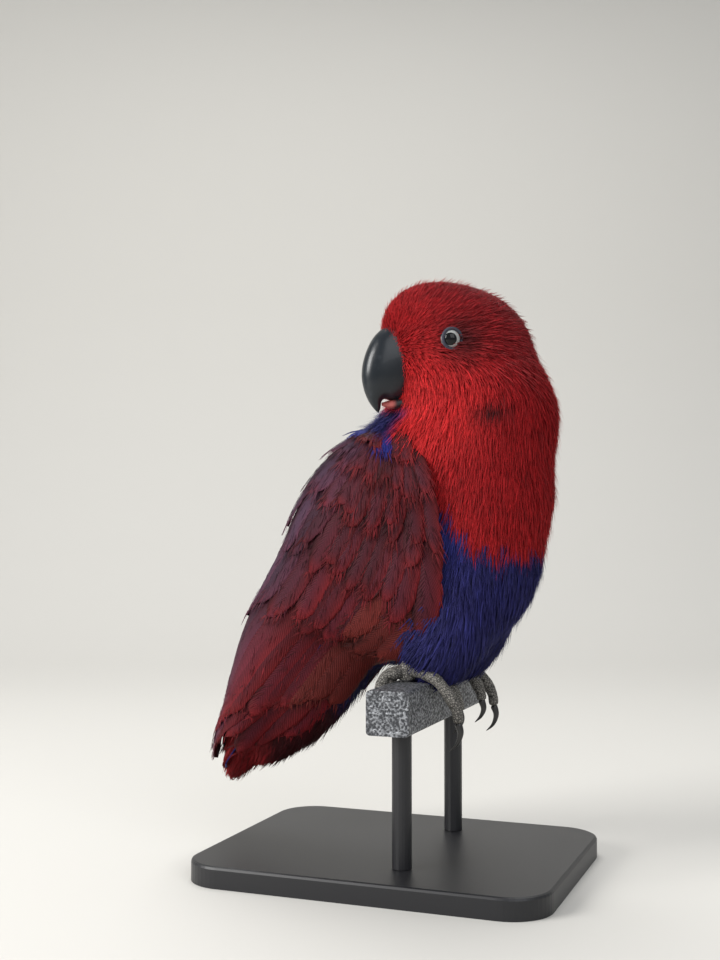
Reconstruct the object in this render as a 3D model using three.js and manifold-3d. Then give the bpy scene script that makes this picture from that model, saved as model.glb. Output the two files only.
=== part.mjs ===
// A perched parrot, life size, as a still display model: a female of the red and blue kind,
// puffed up at rest, with its head turned back over its right shoulder.
// Millimetres, +Z up. The bird faces +X and its right side is -Y. The origin is on the floor
// under the middle of the perch bar.
import * as THREE from "three";
import { mergeVertices } from "three/addons/utils/BufferGeometryUtils.js";
import Module from "manifold-3d";

const wasm = await Module();
wasm.setup();

// Driving sizes
const GAP = 0.3; // clearance between neighbouring pieces
const BAR_TOP = 102; // height of the perch bar's top face
const BAR_SIDE = 22; // side of the square perch tube
const BAR_LENGTH = 132;
const BASE = { length: 190, width: 150, height: 11, corner: 22, middleX: -16 };
const ROD = { radius: 5, y: 44 };
const FOOT_Y = 27; // each foot stands this far from the middle plane
const HEAD_AT = [9, -13, 276]; // middle of the head
const HEAD_TURN = 221; // heading of the face, degrees from +X
const BLEND = 16; // how softly the body's forms run together

const radians = THREE.MathUtils.degToRad;
const lerp = THREE.MathUtils.lerp;
const clamp = THREE.MathUtils.clamp;
const smooth = THREE.MathUtils.smoothstep;
const vec = (x, y, z) => new THREE.Vector3(x, y, z);

// Directions of the head: forward, to its own left, and up
const FACE = vec(Math.cos(radians(HEAD_TURN)), Math.sin(radians(HEAD_TURN)), 0);
const FACE_LEFT = vec(-FACE.y, FACE.x, 0);
const headPoint = (forward, left, up) =>
  vec(...HEAD_AT).addScaledVector(FACE, forward).addScaledVector(FACE_LEFT, left).add(vec(0, 0, up));

// Plumage forms: ellipsoids that blend into one body. lean tips the long axis towards +X.
function form(at, half, lean = 0, turn = 0) {
  const centre = at instanceof THREE.Vector3 ? at : vec(...at);
  const turned = new THREE.Matrix4().makeRotationZ(radians(turn));
  const frame = turned.multiply(new THREE.Matrix4().makeRotationY(radians(lean)));
  const toLocal = frame.clone().setPosition(centre).invert();
  return { half: vec(...half), toLocal };
}

const TORSO_FORMS = [
  form([19, 0, 200], [48, 40, 56]), // breast
  form([-31, 0, 178], [41, 37, 66], 30), // back
  form([1, 0, 151], [58, 38, 40], -14), // belly
  form([-74, 0, 124], [26, 30, 50], 26), // rump
  form([-101, 0, 78], [11, 17, 40], 22), // root of the tail
  form([-64, 0, 90], [16, 19, 50], 42), // under-tail coverts
  form([27, -2, 240], [43, 36, 36]), // neck
];
const HEAD_FORMS = [
  form(headPoint(-4, 0, 0), [30, 23, 33], 0, HEAD_TURN), // skull
  form(headPoint(8, 0, 10), [21, 8, 18], 0, HEAD_TURN), // forehead
  form(headPoint(0, 0, -17), [15, 17, 17], 0, HEAD_TURN), // cheeks
  form(headPoint(-25, 0, -8), [29, 26, 36], 0, HEAD_TURN), // nape
];
const BODY_FORMS = [...TORSO_FORMS, ...HEAD_FORMS];
// What the folded wings lie on: the body and the room that the tail takes
const WRAP_FORMS = [...BODY_FORMS, form([-99, 0, 76], [9, 26, 50], 23)];

// Rough distance from a point to the blended forms, negative inside
function distanceTo(forms, point) {
  let total = Infinity;
  const local = vec(0, 0, 0);
  for (const { half, toLocal } of forms) {
    local.copy(point).applyMatrix4(toLocal);
    const near = Math.hypot(local.x / half.x, local.y / half.y, local.z / half.z);
    const slope = Math.hypot(local.x / half.x ** 2, local.y / half.y ** 2, local.z / half.z ** 2);
    const d = (near * (near - 1)) / (slope + 1e-9);
    if (total === Infinity) total = d;
    else {
      const share = clamp(0.5 + (0.5 * (total - d)) / BLEND, 0, 1);
      total = lerp(total, d, share) - BLEND * share * (1 - share);
    }
  }
  return total;
}

// The line that the body is drawn around, from the tail's end to the middle of the head
const SPINE = new THREE.CatmullRomCurve3(
  [[-112, 0, 48], [-92, 0, 88], [-55, 0, 132], [-18, 0, 172], [6, -2, 212], [12, -8, 245], HEAD_AT].map(
    (p) => vec(...p),
  ),
);
const TAIL_CAP = 0.12; // below this share of v the rays fan round the tail's end
const CROWN_CAP = 0.84; // above it they fan over the crown

// A ray out of the spine. v runs 0..1 from the tail's end to the crown, and angle is 0 at the
// back, 90 degrees at the bird's right side, 180 at the belly.
function bodyRay(v, angle) {
  const t = clamp((v - TAIL_CAP) / (CROWN_CAP - TAIL_CAP), 0, 1);
  const origin = SPINE.getPoint(t);
  const along = SPINE.getTangent(t);
  let fan = 0;
  if (v < TAIL_CAP) fan = ((v - TAIL_CAP) / TAIL_CAP) * (Math.PI / 2);
  if (v > CROWN_CAP) fan = ((v - CROWN_CAP) / (1 - CROWN_CAP)) * (Math.PI / 2);
  const side = vec(0, -1, 0);
  side.addScaledVector(along, -along.dot(side)).normalize();
  const back = side.clone().cross(along);
  const out = back.multiplyScalar(Math.cos(angle)).addScaledVector(side, Math.sin(angle));
  out.multiplyScalar(Math.cos(fan)).addScaledVector(along, Math.sin(fan));
  return { origin, out };
}

// Where that ray leaves the forms, pushed out by extra
function surfacePoint(forms, v, angle, extra = 0) {
  const { origin, out } = bodyRay(v, angle);
  const step = 3;
  const farthest = 130;
  const halvings = 16;
  const at = (r) => origin.clone().addScaledVector(out, r);
  let far = step;
  while (far < farthest && distanceTo(forms, at(far)) < extra) far += step;
  let near = far - step;
  for (let i = 0; i < halvings; i++) {
    const middle = (near + far) / 2;
    if (distanceTo(forms, at(middle)) < extra) near = middle;
    else far = middle;
  }
  return at((near + far) / 2);
}

// The outward direction of the forms at a point
function surfaceNormal(forms, p) {
  const step = 0.5;
  const beside = (axis, by) => distanceTo(forms, p.clone().addScaledVector(axis, by));
  const slope = (axis) => beside(axis, step) - beside(axis, -step);
  return vec(slope(vec(1, 0, 0)), slope(vec(0, 1, 0)), slope(vec(0, 0, 1))).normalize();
}

// A solid from its corner points and triangles. Triangles that all face inwards are turned round.
function closedSolid(points, triangles) {
  const corners = new Float32Array(points.flatMap((p) => [p.x, p.y, p.z]));
  const make = (order) =>
    new wasm.Manifold(
      new wasm.Mesh({ numProp: 3, vertProperties: corners, triVerts: new Uint32Array(order) }),
    );
  const made = make(triangles);
  if (made.volume() > 0) return made;
  const turned = [0, 2, 1];
  return make(triangles.map((_, i) => triangles[i - (i % 3) + turned[i % 3]]));
}

const WELD = 1e-3; // corners closer than this are one corner

// A closed geometry as a solid
function manifoldOf(geometry) {
  const bare = geometry.index ? geometry.toNonIndexed() : geometry;
  const points = new THREE.BufferGeometry().setAttribute("position", bare.getAttribute("position"));
  const merged = mergeVertices(points, WELD);
  return new wasm.Manifold(
    new wasm.Mesh({
      numProp: 3,
      vertProperties: new Float32Array(merged.attributes.position.array),
      triVerts: new Uint32Array(merged.index.array),
    }),
  );
}

// A solid through rings of points that all have the same count, closed by a pole at each end.
// plate is true for four-point rings, whose two broad faces are then cut along the same diagonals.
function loft(rings, first, last, plate = false) {
  const count = rings[0].length;
  const index = [];
  const at = (ring, k) => 1 + ring * count + (k % count);
  const end = 1 + rings.length * count;
  for (let k = 0; k < count; k++) {
    index.push(0, at(0, k + 1), at(0, k));
    index.push(end, at(rings.length - 1, k), at(rings.length - 1, k + 1));
    for (let r = 0; r + 1 < rings.length; r++) {
      const turned = plate && k === 2;
      index.push(at(r, k), at(r, k + 1), turned ? at(r + 1, k + 1) : at(r + 1, k));
      index.push(turned ? at(r, k) : at(r, k + 1), at(r + 1, k + 1), at(r + 1, k));
    }
  }
  return closedSolid([first, ...rings.flat(), last], index);
}

const largest = (solid) => solid.decompose().reduce((a, b) => (b.volume() > a.volume() ? b : a));
const union = (solids) => solids.reduce((a, b) => a.add(b));
const middleOf = (points) =>
  points.reduce((sum, p) => sum.add(p), vec(0, 0, 0)).divideScalar(points.length);

// An ellipsoid or egg as a loft of rings
function egg(centre, half, lean = 0, turn = 0, rings = 9, around = 16) {
  const frame = new THREE.Matrix4().makeRotationZ(radians(turn));
  frame.multiply(new THREE.Matrix4().makeRotationY(radians(lean))).setPosition(centre);
  const place = (x, y, z) => vec(x * half[0], y * half[1], z * half[2]).applyMatrix4(frame);
  const made = [];
  for (let i = 1; i < rings; i++) {
    const up = -Math.PI / 2 + (Math.PI * i) / rings;
    const ring = [];
    for (let k = 0; k < around; k++) {
      const a = (2 * Math.PI * k) / around;
      ring.push(place(Math.cos(up) * Math.cos(a), Math.cos(up) * Math.sin(a), Math.sin(up)));
    }
    made.push(ring);
  }
  return loft(made, place(0, 0, -1), place(0, 0, 1));
}

// A round tube along points, with a radius at each, closed to its end points
function tube(points, radii, around) {
  const rings = [];
  const reference = vec(0, 1, 0);
  for (let i = 1; i + 1 < points.length; i++) {
    const along = points[i + 1].clone().sub(points[i - 1]).normalize();
    const side = reference.clone().addScaledVector(along, -along.dot(reference)).normalize();
    const up = side.clone().cross(along);
    const ring = [];
    for (let k = 0; k < around; k++) {
      const a = (2 * Math.PI * k) / around;
      const out = side.clone().multiplyScalar(Math.cos(a)).addScaledVector(up, Math.sin(a));
      ring.push(points[i].clone().addScaledVector(out, radii[i]));
    }
    rings.push(ring);
  }
  return loft(rings, points[0], points[points.length - 1]);
}

// The whole body, which is then parted into tail root, torso, neck and head
function bodySolid(extra, rows, around) {
  const rings = [];
  for (let i = 1; i < rows; i++) {
    const ring = [];
    for (let k = 0; k < around; k++) {
      ring.push(surfacePoint(BODY_FORMS, i / rows, (2 * Math.PI * k) / around, extra));
    }
    rings.push(ring);
  }
  return loft(rings, surfacePoint(BODY_FORMS, 0, 0, extra), surfacePoint(BODY_FORMS, 1, 0, extra));
}

const BODY_ROWS = 34;
const BODY_AROUND = 28;
const body = bodySolid(0, BODY_ROWS, BODY_AROUND);
const bodyRoom = bodySolid(GAP, BODY_ROWS, BODY_AROUND);

// Parting planes: a point, and the side that the plane's normal looks to
const PARTINGS = {
  wing: { at: vec(17, 0, 0), up: vec(1, 0, 0) }, // between the wing's front edge and the thigh
  tail: { at: vec(-91, 0, 92), up: vec(0.5, 0, 0.86).normalize() },
  neck: { at: vec(22, 0, 214), up: vec(0.3, 0.1, 0.95).normalize() },
  head: { at: vec(12, -8, 248), up: vec(0.25, 0.15, 0.95).normalize() },
};
const above = (solid, { at, up }, gap = GAP) => solid.trimByPlane(up.toArray(), up.dot(at) + gap / 2);
const below = (solid, { at, up }, gap = GAP) =>
  solid.trimByPlane(up.clone().negate().toArray(), gap / 2 - up.dot(at));

const LEAST_REACH = 14; // a vane spreads round the body as if its line were at least this far off

// One feather vane on the wrapped surface: from its root at (v, angle) to its tip, a plate with
// the same triangles on both faces, rolled a little so that neighbours lie like tiles
function wrappedVane({ root, tip, half, lift, roll, thick, mirror, bow }) {
  const shares = [0, 0.4, 0.8, 0.95]; // places along the vane
  const widths = [0.75, 1, 0.92, 0.45]; // its width there
  const rings = shares.map((s, i) => {
    const v = lerp(root[0], tip[0], s);
    const angle = radians(lerp(root[1], tip[1], s) + bow * Math.sin(Math.PI * s)) * mirror;
    const middle = surfacePoint(WRAP_FORMS, v, angle);
    const reach = middle.distanceTo(bodyRay(v, angle).origin);
    const spread = (half * widths[i]) / Math.max(reach, LEAST_REACH);
    const height = lerp(lift[0], lift[1], s);
    const edge = (sign) => {
      const p = surfacePoint(WRAP_FORMS, v, angle + sign * spread);
      return { p, n: surfaceNormal(WRAP_FORMS, p), h: height + sign * mirror * roll };
    };
    const low = edge(-1);
    const high = edge(1);
    const put = ({ p, n, h }, t) => p.clone().addScaledVector(n, h + t);
    return [put(low, -thick / 2), put(high, -thick / 2), put(high, thick / 2), put(low, thick / 2)];
  });
  const a = radians(tip[1]) * mirror;
  const end = surfacePoint(WRAP_FORMS, tip[0], a);
  end.addScaledVector(surfaceNormal(WRAP_FORMS, end), lift[1]);
  return loft(rings, middleOf(rings[0]), end, true);
}

// A row of vanes between two wing borders. Each value is [at the front edge, at the back edge].
function vaneRow({ count, rootV, rootAngle, tipV, tipAngle, half, lift, roll, thick, bow }, mirror) {
  const vanes = [];
  for (let i = 0; i < count; i++) {
    const s = i / (count - 1);
    const wander = 0.006 * Math.sin(7.3 * i + 1.1); // the small unevenness of real feather tips
    vanes.push(
      wrappedVane({
        root: [lerp(...rootV, s), lerp(...rootAngle, s)],
        tip: [lerp(...tipV, s) + wander, lerp(...tipAngle, s)],
        half: lerp(...half, s),
        lift: lift.map((h) => lerp(...h, s)),
        roll,
        thick,
        mirror,
        bow,
      }),
    );
  }
  return vanes;
}

// The wing's front border: the angle round the body at each v
const frontAngle = (v) => 150 - 70 * smooth(v, 0.43, 0.68);

// Rows of wing feathers from the body outwards: flight feathers first, then the coverts over them
const WING_ROWS = {
  primaries: {
    count: 5, rootV: [0.36, 0.36], rootAngle: [136, 110], tipV: [0.2, 0.085], tipAngle: [138, 24],
    half: [8, 7], lift: [[2.4, 2.4], [1.4, 2.4]], roll: 0.55, thick: 0.9, bow: 6,
  },
  secondaries: {
    count: 7, rootV: [0.43, 0.4], rootAngle: [140, 28], tipV: [0.3, 0.15], tipAngle: [149, 27],
    half: [12.5, 11], lift: [[2.6, 2.6], [5, 3.6]], roll: 0.6, thick: 0.9, bow: 0,
  },
  greaterCoverts: {
    count: 6, rootV: [0.5, 0.47], rootAngle: [130, 28], tipV: [0.38, 0.31], tipAngle: [146, 27],
    half: [14, 12.5], lift: [[2.6, 2.6], [6.8, 4.8]], roll: 0.6, thick: 0.9, bow: 0,
  },
};

// The arm of the wing under its feathers, a thin shell on the side of the body
const ARM = { rows: 7, columns: 6, v: [0.25, 0.635], back: 14, trim: 10, thick: 4.8, rim: 2 };

function wingArm(mirror) {
  const { rows, columns } = ARM;
  const inner = [];
  const outer = [];
  for (let i = 0; i <= rows; i++) {
    const v = lerp(...ARM.v, i / rows);
    const backAngle = ARM.back + ARM.trim * smooth(v, 0.52, ARM.v[1]); // drawn in towards the shoulder
    for (let j = 0; j <= columns; j++) {
      const angle = radians(lerp(backAngle, frontAngle(v), j / columns)) * mirror;
      const p = surfacePoint(WRAP_FORMS, v, angle);
      const n = surfaceNormal(WRAP_FORMS, p);
      const onRim = Math.min(i, rows - i, j, columns - j) === 0;
      inner.push(p.clone().addScaledVector(n, GAP));
      outer.push(p.clone().addScaledVector(n, onRim ? ARM.rim : ARM.thick));
    }
  }
  const id = (face, i, j) => (face * (rows + 1) + i) * (columns + 1) + j;
  const index = [];
  const quad = (a, b, c, d) => index.push(a, b, c, a, c, d);
  for (let i = 0; i < rows; i++) {
    for (let j = 0; j < columns; j++) {
      quad(id(1, i, j), id(1, i, j + 1), id(1, i + 1, j + 1), id(1, i + 1, j));
      quad(id(0, i, j), id(0, i + 1, j), id(0, i + 1, j + 1), id(0, i, j + 1));
    }
  }
  for (let j = 0; j < columns; j++) {
    quad(id(0, 0, j), id(0, 0, j + 1), id(1, 0, j + 1), id(1, 0, j));
    quad(id(0, rows, j + 1), id(0, rows, j), id(1, rows, j), id(1, rows, j + 1));
  }
  for (let i = 0; i < rows; i++) {
    quad(id(0, i + 1, 0), id(0, i, 0), id(1, i, 0), id(1, i + 1, 0));
    quad(id(0, i, columns), id(0, i + 1, columns), id(1, i + 1, columns), id(1, i, columns));
  }
  return closedSolid([...inner, ...outer], index);
}

// The room that the lower feathers leave for a foot's knuckles
const FOOT_ROOM = { x: -4, outwards: 2, height: 6, half: [14, 13, 10] };

function wing(mirror) {
  const vanes = Object.values(WING_ROWS).flatMap((row) => vaneRow(row, mirror));
  const roomY = -mirror * (FOOT_Y + FOOT_ROOM.outwards);
  const footRoom = egg(vec(FOOT_ROOM.x, roomY, BAR_TOP + FOOT_ROOM.height), FOOT_ROOM.half);
  const clear = union([wingArm(mirror), ...vanes])
    .subtract(bodyRoom)
    .subtract(shankSolid(-mirror, 2 * GAP))
    .subtract(footRoom);
  const whole = below(clear, PARTINGS.wing);
  return whole.trimByPlane([0, -mirror, 0], GAP / 2); // each wing stays on its own side
}

// Tail: twelve flat feathers fanned from the tail root, the middle pair on top
const TAIL = {
  root: vec(-88, 0, 98),
  along: vec(-0.56, 0, -0.83).normalize(),
  length: 61,
  half: 8.5,
  fan: 11, // degrees that the outer feather splays
  spread: 7, // sideways place of the outer root
  layer: 1.3, // each pair lies this much under the one before
  thick: 0.8,
  pairs: 6,
  step: 5, // the outer feather is this much shorter
};

function tailVane(pair, side) {
  const s = (pair + 0.5) / TAIL.pairs;
  const splay = radians(TAIL.fan * s) * side;
  const along = TAIL.along.clone().multiplyScalar(Math.cos(splay)).add(vec(0, Math.sin(splay), 0));
  const across = vec(0, 1, 0).addScaledVector(along, -along.y).normalize();
  const under = along.clone().cross(across).normalize();
  if (under.x < 0) under.negate();
  const root = TAIL.root.clone().add(vec(0, TAIL.spread * s * side, 0));
  root.addScaledVector(under, TAIL.layer * pair);
  const length = TAIL.length - TAIL.step * s * s;
  const shares = [0.02, 0.5, 0.88, 0.97]; // places along the feather
  const widths = [0.6, 0.95, 1, 0.7]; // its width there
  const rings = shares.map((share, i) => {
    const middle = root.clone().addScaledVector(along, length * share);
    const w = TAIL.half * widths[i];
    const edge = (sign, t) => {
      const droop = sign * side > 0 ? 0.5 : -0.1;
      return middle.clone().addScaledVector(across, sign * w).addScaledVector(under, droop + t);
    };
    const t = TAIL.thick / 2;
    return [edge(-1, -t), edge(1, -t), edge(1, t), edge(-1, t)];
  });
  return loft(rings, root, root.clone().addScaledVector(along, length), true);
}

function tail() {
  const vanes = [];
  for (let pair = 0; pair < TAIL.pairs; pair++) {
    vanes.push(tailVane(pair, -1), tailVane(pair, 1));
  }
  return union([below(body, PARTINGS.tail), ...vanes]).subtract(above(bodyRoom, PARTINGS.tail, -GAP));
}

// Bill: the upper mandible is a hooked horn, the lower one a short scoop behind it
const BILL_ARC = [
  // forward and up of the ridge, forward and up of the cutting edge, half width
  [[24, 13], [8, -21], 9],
  [[29, 10], [12, -24], 9.8],
  [[35.5, 3.5], [17, -27], 9.6],
  [[40, -6], [22, -28.5], 8.6],
  [[41.6, -15], [26, -28.5], 7],
  [[40.6, -23], [29.5, -28], 5.2],
  [[38, -29.5], [31.5, -29.5], 3.2],
  [[35, -33.6], [32, -33], 1.5],
];

// Rings across the head from the ridge to the cutting edge. fullness below 1 makes the sides fuller.
function mandible(arc, tip, around, fullness) {
  const rings = arc.map(([ridge, edge, halfWidth]) => {
    const ring = [];
    for (let k = 0; k < around; k++) {
      const a = (2 * Math.PI * k) / around;
      const share = (1 - Math.cos(a)) / 2; // 0 on the ridge, 1 on the cutting edge
      const sideways = Math.sign(Math.sin(a)) * Math.abs(Math.sin(a)) ** fullness;
      const forward = lerp(ridge[0], edge[0], share);
      ring.push(headPoint(forward, halfWidth * sideways, lerp(ridge[1], edge[1], share)));
    }
    return ring;
  });
  return loft(rings, middleOf(rings[0]), headPoint(...tip));
}

const LOWER_ARC = [
  [[10, -23], [8, -32], 8.6],
  [[16, -25], [14, -34], 8.2],
  [[21, -27], [20, -34.4], 6.8],
  [[25.5, -28.5], [25, -33], 4.4],
];

const UPPER_TIP = [33, 0, -35.4];
const LOWER_TIP = [28, 0, -30.6];
const MOUTH = { back: 0.6, down: 0.5 }; // how far the lower mandible is cut clear of the upper one

// Eyes, each in a round socket with a raised ring of bare lid
const EYE = { forward: 2, up: 1.5, radius: 6, depth: 3.4, lid: 5.3, lidThick: 1.3 };

// The middle of an eyeball, which lies a set depth under the feathers
function eyeCentre(side) {
  let out = 0;
  while (distanceTo(BODY_FORMS, headPoint(EYE.forward, out * side, EYE.up)) < 0) out += 0.25;
  return headPoint(EYE.forward, (out - EYE.depth) * side, EYE.up);
}
const eyeball = (side, extra = 0) => {
  const r = EYE.radius + extra;
  return egg(eyeCentre(side), [r, r, r], 0, HEAD_TURN, 8, 14);
};

function lidRing(side) {
  // A torus laid round the eye, in the plane that faces out of the head
  const axis = FACE_LEFT.clone().multiplyScalar(side);
  const centre = eyeCentre(side).addScaledVector(axis, EYE.depth);
  const ring = new THREE.TorusGeometry(EYE.lid, EYE.lidThick, 6, 18);
  const turn = new THREE.Quaternion().setFromUnitVectors(vec(0, 0, 1), axis);
  ring.applyMatrix4(new THREE.Matrix4().compose(centre, turn, vec(1, 1, 1)));
  return manifoldOf(ring);
}

// Legs: a feathered thigh, then a short scaly foot with two toes before the bar and two behind
const THIGH = { at: [15, 21, 130], half: [21, 16, 31], lean: 14 };
function thighSolid(side, extra = 0) {
  const [x, y, z] = THIGH.at;
  return egg(vec(x, y * side, z), THIGH.half.map((h) => h + extra), THIGH.lean);
}

const TOE_RADIUS = 3;
const BACK_X = -(BAR_SIDE / 2 + TOE_RADIUS + 0.9); // back toes hang just clear of the bar
// Each toe's bends as [x, share of the toe's side, height over the bar's top], and its claw's
const TOES = {
  outer_front: {
    side: 7,
    bends: [[-3, 0, 5.4], [6, 0.35, 5.2], [14, 0.75, 2.6], [21, 0.95, -4.5], [25.5, 1, -12], [26.6, 1, -19]],
    claw: [[26.2, 1, -18], [27.8, 1.02, -23.5], [26, 1.04, -29], [22, 1.05, -33]],
  },
  inner_front: {
    side: -6,
    bends: [[-3, 0, 5.4], [6, 0.4, 5], [14, 0.8, 2.4], [19.5, 1, -4], [22.6, 1, -10], [23.2, 1, -14.5]],
    claw: [[22.8, 1, -13.5], [24.4, 1.02, -18.5], [22.8, 1.04, -23], [19.4, 1.05, -26.5]],
  },
  outer_back: {
    side: 8,
    bends: [[-3, 0, 5.4], [-7, 0.5, 4.8], [-12, 0.9, 3.2], [BACK_X, 1, -4], [BACK_X, 1, -9]],
    claw: [
      [BACK_X + 0.3, 1, -8], [BACK_X - 1.4, 1.02, -13], [BACK_X - 0.8, 1.04, -17], [BACK_X + 1.4, 1.05, -20],
    ],
  },
  inner_back: {
    side: -6,
    bends: [[-3, 0, 5.4], [-7, 0.5, 4.8], [-12, 0.9, 3.2], [BACK_X, 1, -3], [BACK_X, 1, -6]],
    claw: [
      [BACK_X + 0.3, 1, -5], [BACK_X - 1.2, 1.02, -9], [BACK_X - 0.7, 1.04, -13], [BACK_X + 1.2, 1.05, -15.5],
    ],
  },
};
// A place on a foot, where sideways is a share of reach and is measured outwards
const footPoint = (side, [x, sideways, height], reach) =>
  vec(x, side * (FOOT_Y + sideways * reach), BAR_TOP + height);

function toeSolid(side, toe) {
  const points = toe.bends.map((b) => footPoint(side, b, toe.side));
  const curve = new THREE.CatmullRomCurve3(points).getPoints(9);
  const radii = curve.map((_, i) => {
    const s = i / (curve.length - 1);
    return TOE_RADIUS * (1.06 - 0.2 * s + 0.07 * Math.cos(s * 6 * Math.PI));
  });
  return tube(curve, radii, 8);
}

function clawSolid(side, toe) {
  const points = toe.claw.map((b) => footPoint(side, b, toe.side));
  const curve = new THREE.CatmullRomCurve3(points).getPoints(6);
  const radii = curve.map((_, i) => 2 * (1 - (0.94 * i) / (curve.length - 1)) + 0.12);
  return tube(curve, radii, 6);
}

// The scaly shank, from inside the belly's plumage down to where the toes meet
const SHANK = {
  bends: [[4, -3, 27], [3, -2.7, 24], [1, -2, 18], [-1.4, -0.8, 10.5], [-3, 0, 5.6], [-3, 0, 1.4]],
  radii: [3.6, 3.6, 3.7, 4, 4.6, 2],
};
function shankSolid(side, extra = 0) {
  const points = SHANK.bends.map((b) => footPoint(side, b, 1));
  return tube(points, SHANK.radii.map((r) => r + extra), 10);
}

const footSolid = (side) =>
  union([shankSolid(side), ...Object.values(TOES).map((toe) => toeSolid(side, toe))]);

// A rectangle of half sizes x and y with round corners
function roundedShape(x, y, corner) {
  const shape = new THREE.Shape();
  shape.moveTo(-x + corner, -y);
  shape.lineTo(x - corner, -y);
  shape.absarc(x - corner, -y + corner, corner, -Math.PI / 2, 0);
  shape.lineTo(x, y - corner);
  shape.absarc(x - corner, y - corner, corner, 0, Math.PI / 2);
  shape.lineTo(-x + corner, y);
  shape.absarc(-x + corner, y - corner, corner, Math.PI / 2, Math.PI);
  shape.lineTo(-x, -y + corner);
  shape.absarc(-x + corner, -y + corner, corner, Math.PI, 1.5 * Math.PI);
  return shape;
}

// Perch and stand
const BAR_CORNER = 2;
function barSolid(extra = 0) {
  const half = BAR_SIDE / 2 + extra;
  const outline = roundedShape(half, half, BAR_CORNER);
  const settings = { depth: BAR_LENGTH, bevelEnabled: false, curveSegments: 3 };
  const bar = new THREE.ExtrudeGeometry(outline, settings);
  bar.translate(0, 0, -BAR_LENGTH / 2).rotateX(Math.PI / 2).translate(0, 0, BAR_TOP - BAR_SIDE / 2);
  return manifoldOf(bar);
}

const BASE_BEVEL = 1.5;
function baseSolid() {
  const { length, width, height, corner, middleX } = BASE;
  const base = new THREE.ExtrudeGeometry(roundedShape(length / 2, width / 2, corner), {
    depth: height - BASE_BEVEL,
    bevelThickness: BASE_BEVEL,
    bevelSize: BASE_BEVEL,
    bevelOffset: -BASE_BEVEL,
    bevelSegments: 2,
    curveSegments: 6,
  });
  base.translate(middleX, 0, 0);
  // Only the upper edge is softened, so the underside is cut to one flat face on the floor
  return manifoldOf(base).trimByPlane([0, 0, 1], 0);
}

function rodSolid(side) {
  const bottom = BASE.height + GAP;
  const top = BAR_TOP - BAR_SIDE - GAP;
  const rod = new THREE.CylinderGeometry(ROD.radius, ROD.radius, top - bottom, 20);
  rod.rotateX(Math.PI / 2).translate(0, side * ROD.y, (top + bottom) / 2);
  return manifoldOf(rod);
}

// Colours and finishes
const finish = (color, roughness, metalness = 0) =>
  new THREE.MeshStandardMaterial({ color, roughness, metalness });
const MATERIALS = {
  scarlet: finish(0xb30d12, 0.75),
  maroon: finish(0x6b151c, 0.6),
  violet: finish(0x252a78, 0.75),
  horn: finish(0x14171c, 0.32),
  iris: finish(0xd9d6c8, 0.08),
  scaly: finish(0x77756e, 0.6),
  claw: finish(0x1c1b1b, 0.35),
  hammered: finish(0x4a4a46, 0.45, 0.4),
  stand: finish(0x1f2023, 0.5, 0.2),
};

const model = new THREE.Group();

function geometryOf(solid) {
  const mesh = solid.getMesh();
  const geometry = new THREE.BufferGeometry();
  geometry.setAttribute("position", new THREE.BufferAttribute(mesh.vertProperties, 3));
  geometry.setIndex(new THREE.BufferAttribute(mesh.triVerts, 1));
  return geometry;
}

function addNode(name, solid, material) {
  // Vertices closer than a micrometre are joined, which can close off a void: the shell is kept
  const geometry = geometryOf(largest(manifoldOf(geometryOf(largest(solid)))));
  geometry.computeVertexNormals();
  const node = new THREE.Mesh(geometry, material);
  node.name = name;
  model.add(node);
}

const SIDES = { right: -1, left: 1 }; // sign of Y

// Head, with sockets and lids; the neck and torso below it
let head = above(body, PARTINGS.head);
for (const side of [-1, 1]) head = head.add(lidRing(side));
for (const side of [-1, 1]) head = head.subtract(eyeball(side, GAP));
addNode("head", largest(head), MATERIALS.scarlet);
const neck = below(above(body, PARTINGS.neck), PARTINGS.head);
addNode("neck", largest(neck), MATERIALS.scarlet);
const torso = below(above(body, PARTINGS.tail), PARTINGS.neck);
addNode("torso", largest(torso), MATERIALS.violet);
addNode("eye_right", eyeball(-1), MATERIALS.iris);
addNode("eye_left", eyeball(1), MATERIALS.iris);

const upper = mandible(BILL_ARC, UPPER_TIP, 12, 0.8);
addNode("bill_upper", largest(upper.subtract(bodyRoom)), MATERIALS.horn);
const cleared = upper.translate(FACE.clone().multiplyScalar(-MOUTH.back).setZ(-MOUTH.down).toArray());
const lower = mandible(LOWER_ARC, LOWER_TIP, 10, 1).subtract(bodyRoom).subtract(cleared).subtract(upper);
addNode("bill_lower", largest(lower), MATERIALS.horn);

// Wings and tail, then legs, feet and claws
const rightWing = wing(1);
const leftWing = wing(-1);
const tailSolid = tail();
addNode("tail", largest(tailSolid), MATERIALS.maroon);
addNode("wing_right", largest(rightWing), MATERIALS.maroon);
addNode("wing_left", largest(leftWing), MATERIALS.maroon);

// A claw begins just past the end of its toe
function cutClaw(side, toe, foot) {
  const [before, end] = toe.bends.slice(-2).map((b) => footPoint(side, b, toe.side));
  const out = end.clone().sub(before).normalize();
  return clawSolid(side, toe).trimByPlane(out.toArray(), out.dot(end) + GAP).subtract(foot);
}

for (const [word, side] of Object.entries(SIDES)) {
  const thigh = above(thighSolid(side), PARTINGS.wing).subtract(bodyRoom).subtract(barSolid(GAP));
  addNode(`thigh_${word}`, largest(thigh), MATERIALS.violet);
  const foot = largest(footSolid(side).subtract(thighSolid(side, GAP)).subtract(bodyRoom));
  addNode(`foot_${word}`, foot, MATERIALS.scaly);
  for (const [name, toe] of Object.entries(TOES)) {
    addNode(`claw_${word}_${name}`, largest(cutClaw(side, toe, foot)), MATERIALS.claw);
  }
}

addNode("perch_bar", barSolid(), MATERIALS.hammered);
addNode("stand_base", baseSolid(), MATERIALS.stand);
addNode("stand_rod_right", rodSolid(-1), MATERIALS.stand);
addNode("stand_rod_left", rodSolid(1), MATERIALS.stand);

export default model;
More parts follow.
